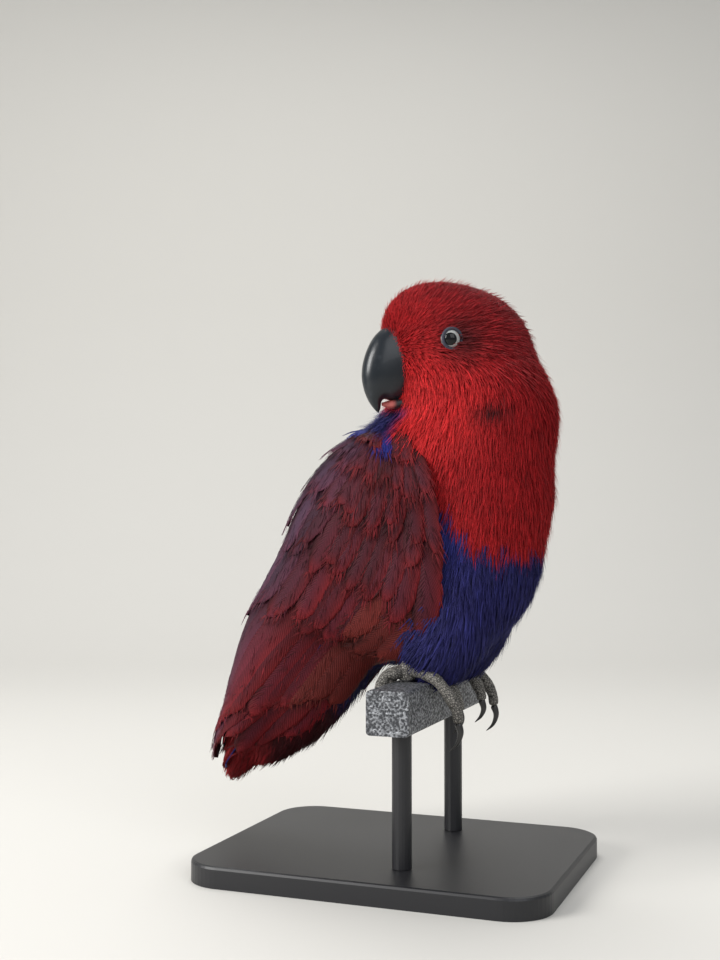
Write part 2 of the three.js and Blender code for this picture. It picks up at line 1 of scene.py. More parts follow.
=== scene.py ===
# %% [markdown]
# # A parrot on a short perch
# A life-size display model of a female of the red and blue kind of parrot. It is puffed up at
# rest on a cut length of square tube, with its head turned back over its right shoulder. The
# solids already give the true size and pose. Here one skin and many thin feathers take the
# place of the plain solid body, and the perch and stand keep their solids under better finishes.
#
# Everything is made in millimetres in the solids' own frame: +Z up, the bird faces +X, its
# right side is -Y, and the origin is on the floor under the middle of the perch.

import math

import bpy
import numpy as np
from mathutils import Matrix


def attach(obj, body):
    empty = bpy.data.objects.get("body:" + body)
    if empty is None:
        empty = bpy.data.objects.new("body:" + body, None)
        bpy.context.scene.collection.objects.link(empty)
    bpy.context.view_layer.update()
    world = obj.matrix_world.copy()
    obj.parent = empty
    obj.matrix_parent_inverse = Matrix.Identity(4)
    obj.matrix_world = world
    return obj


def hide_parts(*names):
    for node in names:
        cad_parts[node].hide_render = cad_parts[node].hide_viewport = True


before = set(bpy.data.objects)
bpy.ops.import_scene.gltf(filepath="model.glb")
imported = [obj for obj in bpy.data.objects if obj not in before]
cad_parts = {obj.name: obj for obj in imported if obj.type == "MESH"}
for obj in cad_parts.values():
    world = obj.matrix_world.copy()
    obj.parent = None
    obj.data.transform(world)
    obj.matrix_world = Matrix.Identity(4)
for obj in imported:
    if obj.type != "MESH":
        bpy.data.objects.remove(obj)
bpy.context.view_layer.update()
MM = 0.001
random = np.random.default_rng(21)

# %% [markdown]
# ## Small vector helpers
# A surface here is an array of points with two grid directions and three coordinates. Keeping
# every helper in terms of such arrays means that no step visits vertices one by one.

# %% Vector helpers
def vec(*values):
    """One point or direction as an array."""
    return np.array(values, float)


def unit(a):
    """Each vector divided by its own length."""
    return a / (np.linalg.norm(a, axis=-1, keepdims=True) + 1e-12)


def dot(a, b):
    """The dot product of matching vectors, kept as a column so that it scales vectors."""
    return np.sum(a * b, axis=-1, keepdims=True)


def lerp(a, b, s):
    """The value a share s of the way from a to b."""
    return a + (b - a) * s


def ease(x, low, high):
    """0 below low, 1 above high, and 3t^2 - 2t^3 in between."""
    t = np.clip((x - low) / (high - low), 0, 1)
    return t * t * (3 - 2 * t)


def along_curve(points, t):
    """Place and unit tangent at t (0..1) on a uniform Catmull-Rom curve through the points.

    On the piece from p1 to p2 it is the cubic through both with slopes (p2 - p0)/2 and
    (p3 - p1)/2. The two end points are mirrored outwards to give the first and last slopes.
    """
    whole = np.vstack([2 * points[0] - points[1], points, 2 * points[-1] - points[-2]])
    x = np.clip(t, 0, 1) * (len(points) - 1)
    i = np.minimum(x.astype(int), len(points) - 2)
    u = (x - i)[..., None]
    p0, p1, p2, p3 = whole[i], whole[i + 1], whole[i + 2], whole[i + 3]
    a, b, c = (p2 - p0) / 2, p0 - 2.5 * p1 + 2 * p2 - p3 / 2, (3 * (p1 - p2) + p3 - p0) / 2
    return p1 + u * (a + u * (b + u * c)), unit(a + u * (2 * b + 3 * u * c))


def crossed(down, across):
    """Two grids that pair every value down with every value across."""
    return np.meshgrid(down, across, indexing="ij")


def round_angles(count):
    """Even angles once round a circle, in radians."""
    return np.arange(count) * 2 * math.pi / count


print("a quarter along a straight line:", along_curve(np.eye(3)[:2] * 4, np.array([0.25]))[0])

# %% [markdown]
# ## The forms of the plumage
# The outside of a bird is its feathers, so the forms are of the plumage and not of the flesh.
# Each is an ellipsoid named beside its sizes, and where two meet, their distances blend over
# 16 mm. A sum of such ellipsoids is easier to match to a photo than a sculpted mesh, and the
# solids were made from the same few numbers, so the skin and the feathers fit them.

# %% Forms that blend into one body
HEAD_AT = vec(9, -13, 276)
HEAD_TURN = 221
EYE_FORWARD, EYE_UP = 2, 1.5
BLEND = 16  # how far two forms blend where they meet
turned = math.radians(HEAD_TURN)
FACE = vec(math.cos(turned), math.sin(turned), 0)
FACE_LEFT = vec(-FACE[1], FACE[0], 0)
UP = vec(0, 0, 1)


def head_point(forward, left, up):
    """A place given from the middle of the head along its own forward, left and up."""
    return HEAD_AT + forward * FACE + left * FACE_LEFT + up * UP


def form(at, half, lean=0.0, turn=0.0):
    """An ellipsoid: its middle, half lengths, and axes leaned towards +X and turned about Z."""
    a, b = math.radians(lean), math.radians(turn)
    leaned = np.array([[math.cos(a), 0, math.sin(a)], [0, 1, 0], [-math.sin(a), 0, math.cos(a)]])
    turned_z = np.array([[math.cos(b), -math.sin(b), 0], [math.sin(b), math.cos(b), 0], [0, 0, 1]])
    return np.array(at, float), np.array(half, float), turned_z @ leaned


BODY_FORMS = [
    form((19, 0, 200), (48, 40, 56)),  # breast
    form((-31, 0, 178), (41, 37, 66), 30),  # back
    form((1, 0, 151), (58, 38, 40), -14),  # belly
    form((-74, 0, 124), (26, 30, 50), 26),  # rump
    form((-101, 0, 78), (11, 17, 40), 22),  # root of the tail
    form((-64, 0, 90), (16, 19, 50), 42),  # under-tail coverts
    form((27, -2, 240), (43, 36, 36)),  # neck
    form(head_point(-4, 0, 0), (30, 23, 33), 0, HEAD_TURN),  # skull
    form(head_point(8, 0, 10), (21, 8, 18), 0, HEAD_TURN),  # forehead
    form(head_point(0, 0, -17), (15, 17, 17), 0, HEAD_TURN),  # cheeks
    form(head_point(-25, 0, -8), (29, 26, 36), 0, HEAD_TURN),  # nape
]
THIGH_FORMS = [form((15, 21 * side, 130), (21, 16, 31), 14) for side in (-1, 1)]
SKIN_FORMS = BODY_FORMS + THIGH_FORMS
WRAP_FORMS = BODY_FORMS + [form((-99, 0, 76), (9, 26, 50), 23)]  # with the tail, under the wings


def distance_to(points, forms):
    """Rough distance from points to the blended forms, negative inside.

    For one ellipsoid it is k (k - 1) / g, where k is the length of the local point divided by
    the half lengths and g that of the same point divided by their squares. Two distances a and
    b join as lerp(a, b, h) - 16 h (1 - h), with h = 0.5 + (a - b) / 32 kept within 0..1.
    """
    total = None
    for centre, half, axes in forms:
        local = (points - centre) @ axes
        near = np.linalg.norm(local / half, axis=-1)
        d = near * (near - 1) / (np.linalg.norm(local / half**2, axis=-1) + 1e-9)
        if total is None:
            total = d
        else:
            h = np.clip(0.5 + 0.5 * (total - d) / BLEND, 0, 1)
            total = lerp(total, d, h) - BLEND * h * (1 - h)
    return total


def outward(points, forms, step=0.5):
    """The way out of the forms: the slope of the distance by small steps along X, Y and Z."""
    here = distance_to(points, forms)
    slopes = [distance_to(points + step * axis, forms) - here for axis in np.eye(3)]
    return unit(np.stack(slopes, axis=-1))


print("middle of the breast is", round(float(distance_to(vec(30, 0, 200), BODY_FORMS)), 1), "mm in")

# %% [markdown]
# ## Rays from a bent spine
# The body bends from a leaning tail to an upright neck and a head set off to one side. Rays out
# of a curve through its middle meet the surface once each, so two numbers place anything on it:
# v runs from the tail's end to the crown, and an angle goes round, with 0 at the back and 90
# degrees at the bird's right side. The skin, the tufts and the wings all use these two numbers.

# %% Rays out of the spine and where they leave the forms
SPINE = np.array([
    (-112, 0, 48), (-92, 0, 88), (-55, 0, 132), (-18, 0, 172), (6, -2, 212), (12, -8, 245), HEAD_AT,
])
TAIL_CAP, CROWN_CAP = 0.12, 0.84  # the spine runs between these values of v
MARCH, MARCH_STEPS, HALVINGS = 3.0, 42, 12  # how a ray looks for the surface, in mm and counts


def body_rays(v, angle):
    """Start and direction of the rays at v and angle (radians).

    Between the caps a ray stands square to the spine. Beyond them it tips forwards or backwards
    along the spine by up to a quarter turn, so that the rays fan over both ends.
    """
    v, angle = np.broadcast_arrays(np.asarray(v, float), np.asarray(angle, float))
    origin, ahead = along_curve(SPINE, (v - TAIL_CAP) / (CROWN_CAP - TAIL_CAP))
    below = np.minimum((v - TAIL_CAP) / TAIL_CAP, 0)
    fan = ((below + np.maximum((v - CROWN_CAP) / (1 - CROWN_CAP), 0)) * math.pi / 2)[..., None]
    side = unit(vec(0, -1, 0) - ahead * dot(ahead, vec(0, -1, 0)))
    back = np.cross(side, ahead)
    out = back * np.cos(angle)[..., None] + side * np.sin(angle)[..., None]
    return origin, out * np.cos(fan) + ahead * np.sin(fan)


def surface(v, angle, forms, extra=0.0):
    """Where the rays leave the forms, pushed out by extra: 3 mm steps, then 12 halvings."""
    origin, out = body_rays(v, angle)
    far = np.full(out.shape[:-1], MARCH)
    for _ in range(MARCH_STEPS):
        inside = distance_to(origin + out * far[..., None], forms) < extra
        if not inside.any():
            break
        far += MARCH * inside
    near = far - MARCH
    for _ in range(HALVINGS):
        middle = (near + far) / 2
        inside = distance_to(origin + out * middle[..., None], forms) < extra
        near, far = np.where(inside, middle, near), np.where(inside, far, middle)
    return origin + out * ((near + far) / 2)[..., None]


print("crown at", np.round(surface(0.999, 0.0, BODY_FORMS), 1), "mm")

# %% [markdown]
# ## From arrays to meshes
# Skins, vanes and tufts are all grids of four-sided faces. One maker turns any stack of grids
# into a mesh, with its map and its colours. The map named OFBake places each tuft or vane as a
# small patch at its root's place on the unwrapped skin.

# %% Mesh maker
PATCH = 0.003  # how wide the patch of one tuft or vane is on the map


def grid_faces(count, rows, columns, closed=False):
    """Corner numbers of all quads in a stack of grids, the columns joined round if closed."""
    number = np.arange(rows * columns).reshape(rows, columns)
    if closed:
        number = np.hstack([number, number[:, :1]])
    quads = np.stack([number[:-1, :-1], number[:-1, 1:], number[1:, 1:], number[1:, :-1]], axis=-1)
    first = (np.arange(count) * rows * columns)[:, None, None]
    return (quads.reshape(1, -1, 4) + first).reshape(-1, 4)


def make_piece(
    name, points, material, uv=None, colour=None, barbs=None, closed=False, replaces=(),
):
    """A mesh object from grids of points shaped (rows, columns, 3) or (count, rows, columns, 3)."""
    stack = points if points.ndim == 4 else points[None]
    count, rows, columns = stack.shape[:3]
    faces = grid_faces(count, rows, columns, closed)
    mesh = bpy.data.meshes.new(name)
    mesh.vertices.add(stack.size // 3)
    mesh.vertices.foreach_set("co", (stack * MM).astype(np.float32).ravel())
    mesh.loops.add(faces.size)
    mesh.loops.foreach_set("vertex_index", faces.ravel())
    mesh.polygons.add(len(faces))
    mesh.polygons.foreach_set("loop_start", np.arange(0, faces.size, 4))
    mesh.polygons.foreach_set("use_smooth", np.ones(len(faces), bool))
    mesh.update(calc_edges=True)
    if uv is not None:
        layer = mesh.uv_layers.new(name="OFBake")
        layer.data.foreach_set("uv", uv.reshape(-1, 2)[faces.ravel()].astype(np.float32).ravel())
    if colour is not None:
        rgba = np.ones((stack.size // 3, 4), np.float32)
        rgba[:, :3] = colour.reshape(-1, 3)
        layer = mesh.color_attributes.new("markings_and_painted_light", "FLOAT_COLOR", "POINT")
        layer.data.foreach_set("color", rgba.ravel())
    if barbs is not None:
        layer = mesh.attributes.new("barbs", "FLOAT", "POINT")
        layer.data.foreach_set("value", barbs.astype(np.float32).ravel())
    mesh.materials.append(material)
    piece = bpy.data.objects.new(name, mesh)
    bpy.context.scene.collection.objects.link(piece)
    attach(piece, "root")
    if replaces:
        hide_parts(*replaces)
    print(name, len(faces) * 2, "triangles")
    return piece


def thicken(piece, thickness):
    """Gives a piece of open vanes its thickness in mm, half of it to each side."""
    solid = piece.modifiers.new("Solidify", "SOLIDIFY")
    solid.thickness, solid.offset = thickness * MM, 0


print("one 3 by 3 grid has", len(grid_faces(1, 3, 3)), "quads")

# %% [markdown]
# ## Shader sums written as sums
# A node tree reads badly as code. Wrapping a socket in a small class lets a material be written
# as arithmetic, and each operator adds the one Math node that it stands for.

# %% Socket wrapper and material maker
class Value:
    """A socket in a node tree that can be added, subtracted and multiplied like a number."""

    def __init__(self, tree, socket):
        self.tree, self.socket = tree, socket

    def math(self, operation, *others):
        """One Math node on this value and the others."""
        return add_node(self.tree, "ShaderNodeMath", {"operation": operation}, [self, *others])

    def __add__(self, other):
        return self.math("ADD", other)

    def __sub__(self, other):
        return self.math("SUBTRACT", other)

    def __mul__(self, other):
        return self.math("MULTIPLY", other)

    def __rsub__(self, other):
        return add_node(self.tree, "ShaderNodeMath", {"operation": "SUBTRACT"}, [other, self])

    __radd__ = __add__
    __rmul__ = __mul__

    def between(self, low, high):
        """0 below low, 1 above high, and smooth in between."""
        settings = {"interpolation_type": "SMOOTHSTEP", "clamp": True}
        return add_node(self.tree, "ShaderNodeMapRange", settings, [self, low, high, 0.0, 1.0])

    def sine(self):
        """The sine of the value."""
        return self.math("SINE")


def add_node(tree, kind, settings=(), values=(), output=0):
    """One node: its type, its settings, and a value or socket for each input by place or name."""
    node = tree.nodes.new(kind)
    for key, value in dict(settings).items():
        setattr(node, key, value)
    pairs = values.items() if isinstance(values, dict) else enumerate(values)
    for key, value in pairs:
        if isinstance(value, Value):
            tree.links.new(value.socket, node.inputs[key])
        elif value is not None:
            node.inputs[key].default_value = value
    return Value(tree, node.outputs[output])


def mix(tree, share, a, b):
    """A colour a share of the way from a to b."""
    node = tree.nodes.new("ShaderNodeMix")
    node.data_type = "RGBA"
    for key, value in (("Factor_Float", share), ("A_Color", a), ("B_Color", b)):
        socket = next(s for s in node.inputs if s.identifier == key)
        if isinstance(value, Value):
            tree.links.new(value.socket, socket)
        else:
            socket.default_value = value if key == "Factor_Float" else (*value, 1)
    return Value(tree, next(s for s in node.outputs if s.identifier == "Result_Color"))


def place(tree):
    """Object coordinates, which are metres in the solids' frame on every piece."""
    return add_node(tree, "ShaderNodeTexCoord", output="Object")


def vector_math(tree, operation, *values, output=0):
    """One Vector Math node on the values."""
    return add_node(tree, "ShaderNodeVectorMath", {"operation": operation}, values, output)


def noise(tree, vector, scale, detail=2.0):
    """Soft noise between 0 and 1 with features of about 1 / scale metres."""
    values = {"Vector": vector, "Scale": scale, "Detail": detail}
    return add_node(tree, "ShaderNodeTexNoise", {}, values)


def cells(tree, feature, scale):
    """The distance that a feature of Voronoi cells gives, with cells of about 1 / scale metres."""
    values = {"Vector": place(tree), "Scale": scale}
    return add_node(tree, "ShaderNodeTexVoronoi", {"feature": feature}, values)


def bump(tree, height, depth):
    """A surface direction bent as if the height, in 0..1, stood out by depth metres."""
    return add_node(tree, "ShaderNodeBump", {}, {"Height": height, "Distance": depth, "Strength": 1.0})


def material(name, paint, **constants):
    """A Principled material. paint(tree) gives the values that vary, constants the others."""
    made = bpy.data.materials.new(name)
    made.use_nodes = True
    tree = made.node_tree
    shader = tree.nodes["Principled BSDF"]
    for key, value in constants.items():
        socket = shader.inputs[key.replace("_", " ")]
        socket.default_value = (*value, 1) if isinstance(value, tuple) else value
    for key, value in paint(tree).items():
        if isinstance(value, Value):
            tree.links.new(value.socket, shader.inputs[key.replace("_", " ")])
    return made


print("shader helpers ready")

# %% [markdown]
# ## Materials
# Feather barbs are finer than any mesh here, so the skin, the tufts and the vanes share one kind
# of finish: their markings, with some painted light and shade, come from the mesh's own colours,
# and fine lines along the barbs come from a count of barbs that each tuft and vane carries. The
# skin under them has no such lines.
# Horn, scaly skin and hammered paint have finishes of their own.

# %% Finishes
BLACK, INK, PINK = (0.0, 0.0, 0.0), (0.012, 0.012, 0.014), (0.42, 0.09, 0.08)
PUPIL, IRIS, RIM = (0.003, 0.003, 0.004), (0.36, 0.37, 0.36), (0.05, 0.045, 0.045)
PUPIL_EDGE, IRIS_EDGE = (0.64, 0.69), (1.05, 1.2)  # angles off the line of sight, in radians
PINK_EDGE = (0.024, 0.027)  # metres from the middle of the head to where the lower bill is pink


def feather_paint(lines, depth):
    """Mesh colours, markings with painted light and shade, darkened in fine lines by its count of barbs.
    """

    def paint(tree):
        marks = add_node(tree, "ShaderNodeVertexColor", {"layer_name": "markings_and_painted_light"})
        barbs = add_node(tree, "ShaderNodeAttribute", {"attribute_name": "barbs"}, output="Fac")
        grain = noise(tree, place(tree), 700.0)
        wave = (barbs * (2 * math.pi) + grain * 4.0).sine() * 0.5 + 0.5
        shade = mix(tree, wave * lines + grain * 0.25, marks, BLACK)
        return {"Base Color": shade, "Normal": bump(tree, wave, depth)}

    return paint


def horn_paint(base, edge):
    """Dark horn with long soft streaks, rougher where it flakes."""

    def paint(tree):
        at = place(tree)
        drawn_out = add_node(tree, "ShaderNodeMapping", {}, {"Vector": at, "Scale": (1, 1, 0.25)})
        streak = noise(tree, drawn_out, 700.0, 4.0)
        flake = noise(tree, at, 160.0, 5.0)
        return {
            "Base Color": mix(tree, flake.between(0.55, 0.8) * 0.6, base, edge),
            "Roughness": flake * 0.18 + 0.24,
            "Normal": bump(tree, streak, 0.00006),
        }

    return paint


def mouth_paint(tree):
    """Dark horn that turns to pink skin towards the tip of the lower mandible."""
    away = vector_math(tree, "SUBTRACT", place(tree), tuple(HEAD_AT * MM))
    forward = vector_math(tree, "DOT_PRODUCT", away, tuple(FACE), output="Value")
    return {"Base Color": mix(tree, forward.between(*PINK_EDGE), INK, PINK)}


def scaly_paint(tree):
    """Grey skin in small rounded scales with darker seams."""
    scale = cells(tree, "DISTANCE_TO_EDGE", 900.0).between(0.02, 0.22)
    return {
        "Base Color": mix(tree, scale, (0.03, 0.027, 0.024), (0.24, 0.225, 0.2)),
        "Normal": bump(tree, scale, 0.0003),
    }


def hammered_paint(tree):
    """Hammered enamel: pale metal flecks ringed by dark pits, under 2 mm across."""
    cell = cells(tree, "SMOOTH_F1", 620.0)
    fleck = cell.between(0.15, 0.6) * noise(tree, place(tree), 900.0).between(0.35, 0.6)
    return {
        "Base Color": mix(tree, fleck, (0.035, 0.037, 0.042), (0.30, 0.31, 0.33)),
        "Roughness": 0.6 - fleck * 0.25,
        "Normal": bump(tree, fleck, 0.0004),
    }


def plain_paint(tree):
    """Fine orange peel on smooth paint."""
    return {"Normal": bump(tree, noise(tree, place(tree), 1500.0), 0.00002)}


def eye_paint(centre, look):
    """A black pupil, a pale iris and a dark rim, by the angle off the line of sight."""

    def paint(tree):
        away = vector_math(tree, "SUBTRACT", place(tree), tuple(centre * MM))
        outwards = vector_math(tree, "NORMALIZE", away)
        along = vector_math(tree, "DOT_PRODUCT", outwards, tuple(look), output="Value")
        turn_off = along.math("ARCCOSINE")
        iris = mix(tree, turn_off.between(*PUPIL_EDGE), PUPIL, IRIS)
        return {"Base Color": mix(tree, turn_off.between(*IRIS_EDGE), iris, RIM)}

    return paint


COAT = material("coat_feathers", feather_paint(0.25, 0.00005), Roughness=0.7, Specular_IOR_Level=0.18)
VANES = material("vane_feathers", feather_paint(0.38, 0.00010), Roughness=0.6, Specular_IOR_Level=0.12)
bill_paint = horn_paint((0.006, 0.009, 0.013), (0.035, 0.042, 0.050))
HORN = material("bill_horn", bill_paint, Coat_Weight=0.12, Specular_IOR_Level=0.4)
MOUTH = material("mouth_skin", mouth_paint, Roughness=0.4)
CLAW = material("claw_horn", horn_paint((0.012, 0.011, 0.011), (0.05, 0.045, 0.04)), Coat_Weight=0.2)
SCALY = material("foot_skin", scaly_paint, Roughness=0.55)
HAMMERED = material("hammered_paint", hammered_paint, Metallic=0.35)
PLAIN = material("stand_paint", plain_paint, Base_Color=INK, Roughness=0.42)
print(len(bpy.data.materials), "materials so far")

# %% [markdown]
# ## Markings, with painted light and shade
# The markings are a function of place, so the skin and every tuft on it agree: a scarlet hood and
# bib, a blue-violet belly and mantle band, a maroon back and maroon under-tail coverts. Painted
# light and shade are laid into the same colours: painted shade in the parted feathers under the
# ear, round the eyes, over the crown and the back of the head, and on the under-tail coverts, and
# a painted highlight on the cheek and throat. The crown and the back of the head are also a darker
# red of their own, and the cheek a brighter one. Each tuft takes the colour of its root, which
# leaves the borders ragged, as real feathers do. The skin has the same colours, darkened as what
# lies in the shade of a coat is.

# %% Colours of the plumage by place
SCARLET, BRIGHT, CRIMSON = vec(0.42, 0.010, 0.013), vec(0.66, 0.022, 0.024), vec(0.21, 0.005, 0.009)
VIOLET, DEEP_BLUE, PALE_BLUE = vec(0.022, 0.021, 0.12), vec(0.010, 0.011, 0.060), vec(0.050, 0.055, 0.34)
MAROON, TAIL_RED, EMBER = vec(0.105, 0.008, 0.013), vec(0.22, 0.009, 0.012), vec(0.15, 0.022, 0.016)
SHADOW = vec(0.010, 0.006, 0.008)


def paint_over(base, colour, share):
    """The base colours with another laid over them by share."""
    return base + (colour - base) * np.asarray(share)[..., None]


def bib_edge(points):
    """Height of the bib's lower border: low on the breast, rising round the sides to the wings."""
    return lerp(214, 178, ease(points[..., 0], 6, 42))


def ripple(points, size):
    """Smooth waves in -1..1 with lumps of about the size.

    They are sin(a + 1.3 sin b) cos(c + sin 0.7a), where a, b and c grow along slanted lines.
    """
    a = points @ (vec(1.0, 0.6, -0.3) / size) * math.pi
    b = points @ (vec(-0.5, 1.0, 0.7) / size) * math.pi
    c = points @ (vec(0.4, -0.3, 1.1) / size) * math.pi
    return np.sin(a + 1.3 * np.sin(b)) * np.cos(c + np.sin(a * 0.7))


def near_place(points, place, size):
    """e to the power -(distance / size)^2: 1 at the place and near 0 two sizes away."""
    return np.exp(-np.sum(((points - place) / size) ** 2, axis=-1))


PARTING = vec(44, -34, 247)  # where the feathers under the ear have parted
FLANK_RED = vec(-20, -6, 106)  # a few small red feathers in the blue of the flank
WING_BEND = vec(22, -42, 186)  # paler blue feathers at the bend of the wing


def markings_and_painted_light(points):
    """Base colour of the plumage at points in millimetres, with painted light and shade laid in."""
    x, z = points[..., 0], points[..., 2]
    colour = np.broadcast_to(VIOLET, points.shape).copy()
    colour = paint_over(colour, DEEP_BLUE, ease(z, 150, 118) * 0.5)
    colour = paint_over(colour, PALE_BLUE, ease(ripple(points, 9), 0.45, 0.95) * 0.35)
    colour = paint_over(colour, EMBER, near_place(points, FLANK_RED, 6))
    colour = paint_over(colour, PALE_BLUE, near_place(points, WING_BEND, vec(9, 30, 13)) * 0.6)
    colour = paint_over(colour, SCARLET, ease(z - bib_edge(points) - 4 * ripple(points, 10), -1.5, 1.5))
    # painted shade, with some darker red of the bird's own: the crown and the back of the head go towards
    # crimson
    crown = ease(dot(points - HEAD_AT, unit(UP - 0.35 * FACE))[..., 0], 2, 28)
    colour = paint_over(colour, CRIMSON, crown * 0.8 * ease(z, 262, 280))
    colour = paint_over(colour, CRIMSON, near_place(points, head_point(-22, 22, 0), vec(22, 22, 18)) * 0.6)
    # painted highlight, with some brighter red of the bird's own: the cheek and throat, turned to the key
    # lamp, go towards bright scarlet
    cheek = np.linalg.norm((points - head_point(14, 20, -28)) / vec(34, 34, 27), axis=-1)
    colour = paint_over(colour, BRIGHT, ease(cheek, 1.3, 0.4) * ease(z, 205, 225))
    colour = paint_over(colour, SHADOW, near_place(points, PARTING, vec(8, 12, 4)))
    for side in (-1, 1):
        socket = head_point(EYE_FORWARD, 22 * side, EYE_UP)
        colour = paint_over(colour, SHADOW, near_place(points, socket, 10) * 0.8)
    behind = ease(x - 0.55 * (z - 225), -8, -16)
    colour = paint_over(colour, VIOLET, behind * ease(z, 251, 246))
    colour = paint_over(colour, MAROON, behind * ease(z, 226, 216))
    # painted shade under the body: the under-tail coverts take maroon at half its brightness
    colour = paint_over(colour, MAROON * 0.5, ease(x, -36, -48) * ease(z, 140, 128))
    colour = paint_over(colour, TAIL_RED, ease(x, -78, -92) * ease(z, 90, 76))
    return colour * (1 + 0.12 * ripple(points, 7))[..., None]


print("throat colour:", markings_and_painted_light(head_point(20, 10, -25)))

# %% [markdown]
# ## The skin
# One surface carries every tuft. It lies 2.5 mm under the plumage forms, the depth of the
# coat, and takes the place of the head, neck, torso and thigh solids, so no seam shows.

# %% Skin
COAT_DEPTH = 2.5
COAT_SHADE = 0.4
SKIN_ROWS, SKIN_AROUND = ((220, 160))


def on_skin(v, angle):
    """Where the rays leave the forms less the coat."""
    return surface(v, angle, SKIN_FORMS, -COAT_DEPTH)


skin_v, skin_angle = crossed(np.linspace(0.003, 0.997, SKIN_ROWS), round_angles(SKIN_AROUND))
skin, skin_uv = on_skin(skin_v, skin_angle), np.stack([skin_angle / (2 * math.pi), skin_v], axis=-1)
make_piece(
    "skin", skin, COAT, skin_uv, markings_and_painted_light(skin) * COAT_SHADE, closed=True,
    replaces=("head", "neck", "torso", "thigh_right", "thigh_left"),
)

# %% [markdown]
# ## Which way the feathers lie
# Feathers lie away from the bill on the head, and from there down the neck and body to the tail.
# The lie at any place is the mean of those two directions, weighted by height and laid flat on
# the skin. It needs no painted guide, and it turns smoothly round the bent neck.

# %% Lie of the feathers
BILL_ROOT = head_point(27, 0, -6)
LOWEST_LIE = 60  # the height at which the lie follows the tail's end of the spine


def lie(points, normals):
    """Unit directions along the skin: away from the bill above, down the spine below."""
    head_share = ease(points[..., 2:3], 232, 292)
    t = np.clip((points[..., 2] - LOWEST_LIE) / (HEAD_AT[2] - LOWEST_LIE), 0, 1)
    down = -along_curve(SPINE, t)[1]
    down = lerp(down, vec(-0.15, 0, -1), ease(points[..., 0:1], 0, 30))
    direction = unit(down) * (1 - head_share) + unit(points - BILL_ROOT) * head_share
    return unit(direction - normals * dot(direction, normals))


print("lie on the breast:", np.round(lie(vec(60, 0, 200)[None], vec(1, 0, 0)[None])[0], 2))

# %% [markdown]
# ## Body feathers
# Each tuft is a narrow blade with a raised middle line, four steps long. It starts on the skin,
# walks along the lie and is drawn back to the forms after each step, so it follows every bend.
# Tufts are spread over the skin by area, shortest, finest and closest round the face, and long on
# the belly. Few grow under the folded wings.

# %% Tufts spread over the skin
STEPS = 4


def scatter(rows, around, count, density):
    """Random places on the forms, spread by area times density(points, v, angle)."""
    dv, da = 0.5 / rows, math.pi / around
    v, angle = crossed((np.arange(rows) + 0.5) / rows, round_angles(around) + da)
    here = on_skin(v, angle)
    up = on_skin(np.minimum(v + dv, 0.999), angle) - here
    over = on_skin(v, angle + da) - here
    weight = np.linalg.norm(np.cross(up, over), axis=-1) * density(here, v, angle)
    chosen = random.choice(weight.size, count, p=(weight / weight.sum()).ravel())
    shift_v, shift_a = random.uniform(-dv, dv, count), random.uniform(-da, da, count)
    v, angle = v.ravel()[chosen] + shift_v, angle.ravel()[chosen] + shift_a
    return np.clip(v, 0.004, 0.996), angle


def tuft_shape():
    """Half width along a tuft, as a share: quick to widen, then tapering to its tip."""
    s = np.linspace(0, 1, STEPS + 1)
    return np.sin(np.pi * np.clip(0.22 + 0.78 * s, 0, 1)) ** 0.75 * (1 - 0.55 * s**4) + 0.04


def grow_tufts(v, angle, length, width, lift, curl):
    """Blades from the skin at (v, angle).

    Each step adds length / 4 along the lie and then sets the point at its height over the skin,
    which eases from 0 at the root to the coat's depth plus lift at the tip. The blade's edges
    lie to both sides of this line, a little lower than it, and curl bends it sideways.
    """
    root = on_skin(v, angle)
    share = tuft_shape()
    at = root
    rings = []
    for step in range(STEPS + 1):
        normal = outward(at, SKIN_FORMS)
        along = lie(at, normal)
        s = step / STEPS
        height = -COAT_DEPTH + (COAT_DEPTH + lift) * s**0.8
        middle = at + normal * (height - distance_to(at, SKIN_FORMS))[:, None]
        across = np.cross(normal, along)
        half = (width * share[step] / 2)[:, None]
        edge = middle - normal * half * 0.35
        rings.append(np.stack([edge - across * half, middle, edge + across * half], axis=1))
        at = middle + (along + across * curl[:, None]) * (length / STEPS)[:, None]
    return root, np.stack(rings, axis=1)


def tuft_colours(root, count):
    """Colour of each tuft from its root, varied a little, darker at its root than at its tip."""
    tone = random.normal(1.0, 0.20, count).clip(0.5, 1.6)[:, None, None, None]
    along = np.linspace(0.5, 1.15, STEPS + 1)[None, :, None, None]
    base = markings_and_painted_light(root)[:, None, None, :] * tone * along
    return np.broadcast_to(base, (count, STEPS + 1, 3, 3))


def tuft_barbs(width, length):
    """Count of barbs across each tuft, one to 0.5 mm, slanting a little along it."""
    cross, down = np.meshgrid([-1.0, 0.0, 1.0], np.linspace(0, 1, STEPS + 1))
    return cross[None] * width[:, None, None] + down[None] * length[:, None, None] * 0.12


def tuft_uv(v, angle):
    """A patch 0.003 across for each tuft at its root's place on the unwrapped skin."""
    count = len(v)
    uv = np.stack([angle / (2 * math.pi) % 1, v], axis=-1)[:, None, None, :]
    cross, down = np.meshgrid(np.linspace(-0.5, 0.5, 3), np.linspace(0, 1, STEPS + 1))
    return uv + (np.stack([cross, down], axis=-1) * PATCH)[None]


def front_border(v):
    """The folded wing's front border: its angle in degrees at each v."""
    return 150 - 70 * ease(v, 0.43, 0.68)


def seen(points, v, angle):
    """1 where the coat is seen, near 0 under the folded wings and where feathers have parted."""
    turn = np.abs((np.degrees(angle) + 180) % 360 - 180)
    front = front_border(v)
    under_wing = ease(turn, 8, 22) * ease(turn, front + 2, front - 8)
    under_wing = under_wing * ease(v, 0.2, 0.26) * ease(v, 0.62, 0.58)
    parted = near_place(points, PARTING, vec(4, 7, 1.6))
    return (1 - 0.93 * under_wing * ease(points[..., 0], 10, 4)) * (1 - 0.9 * parted)


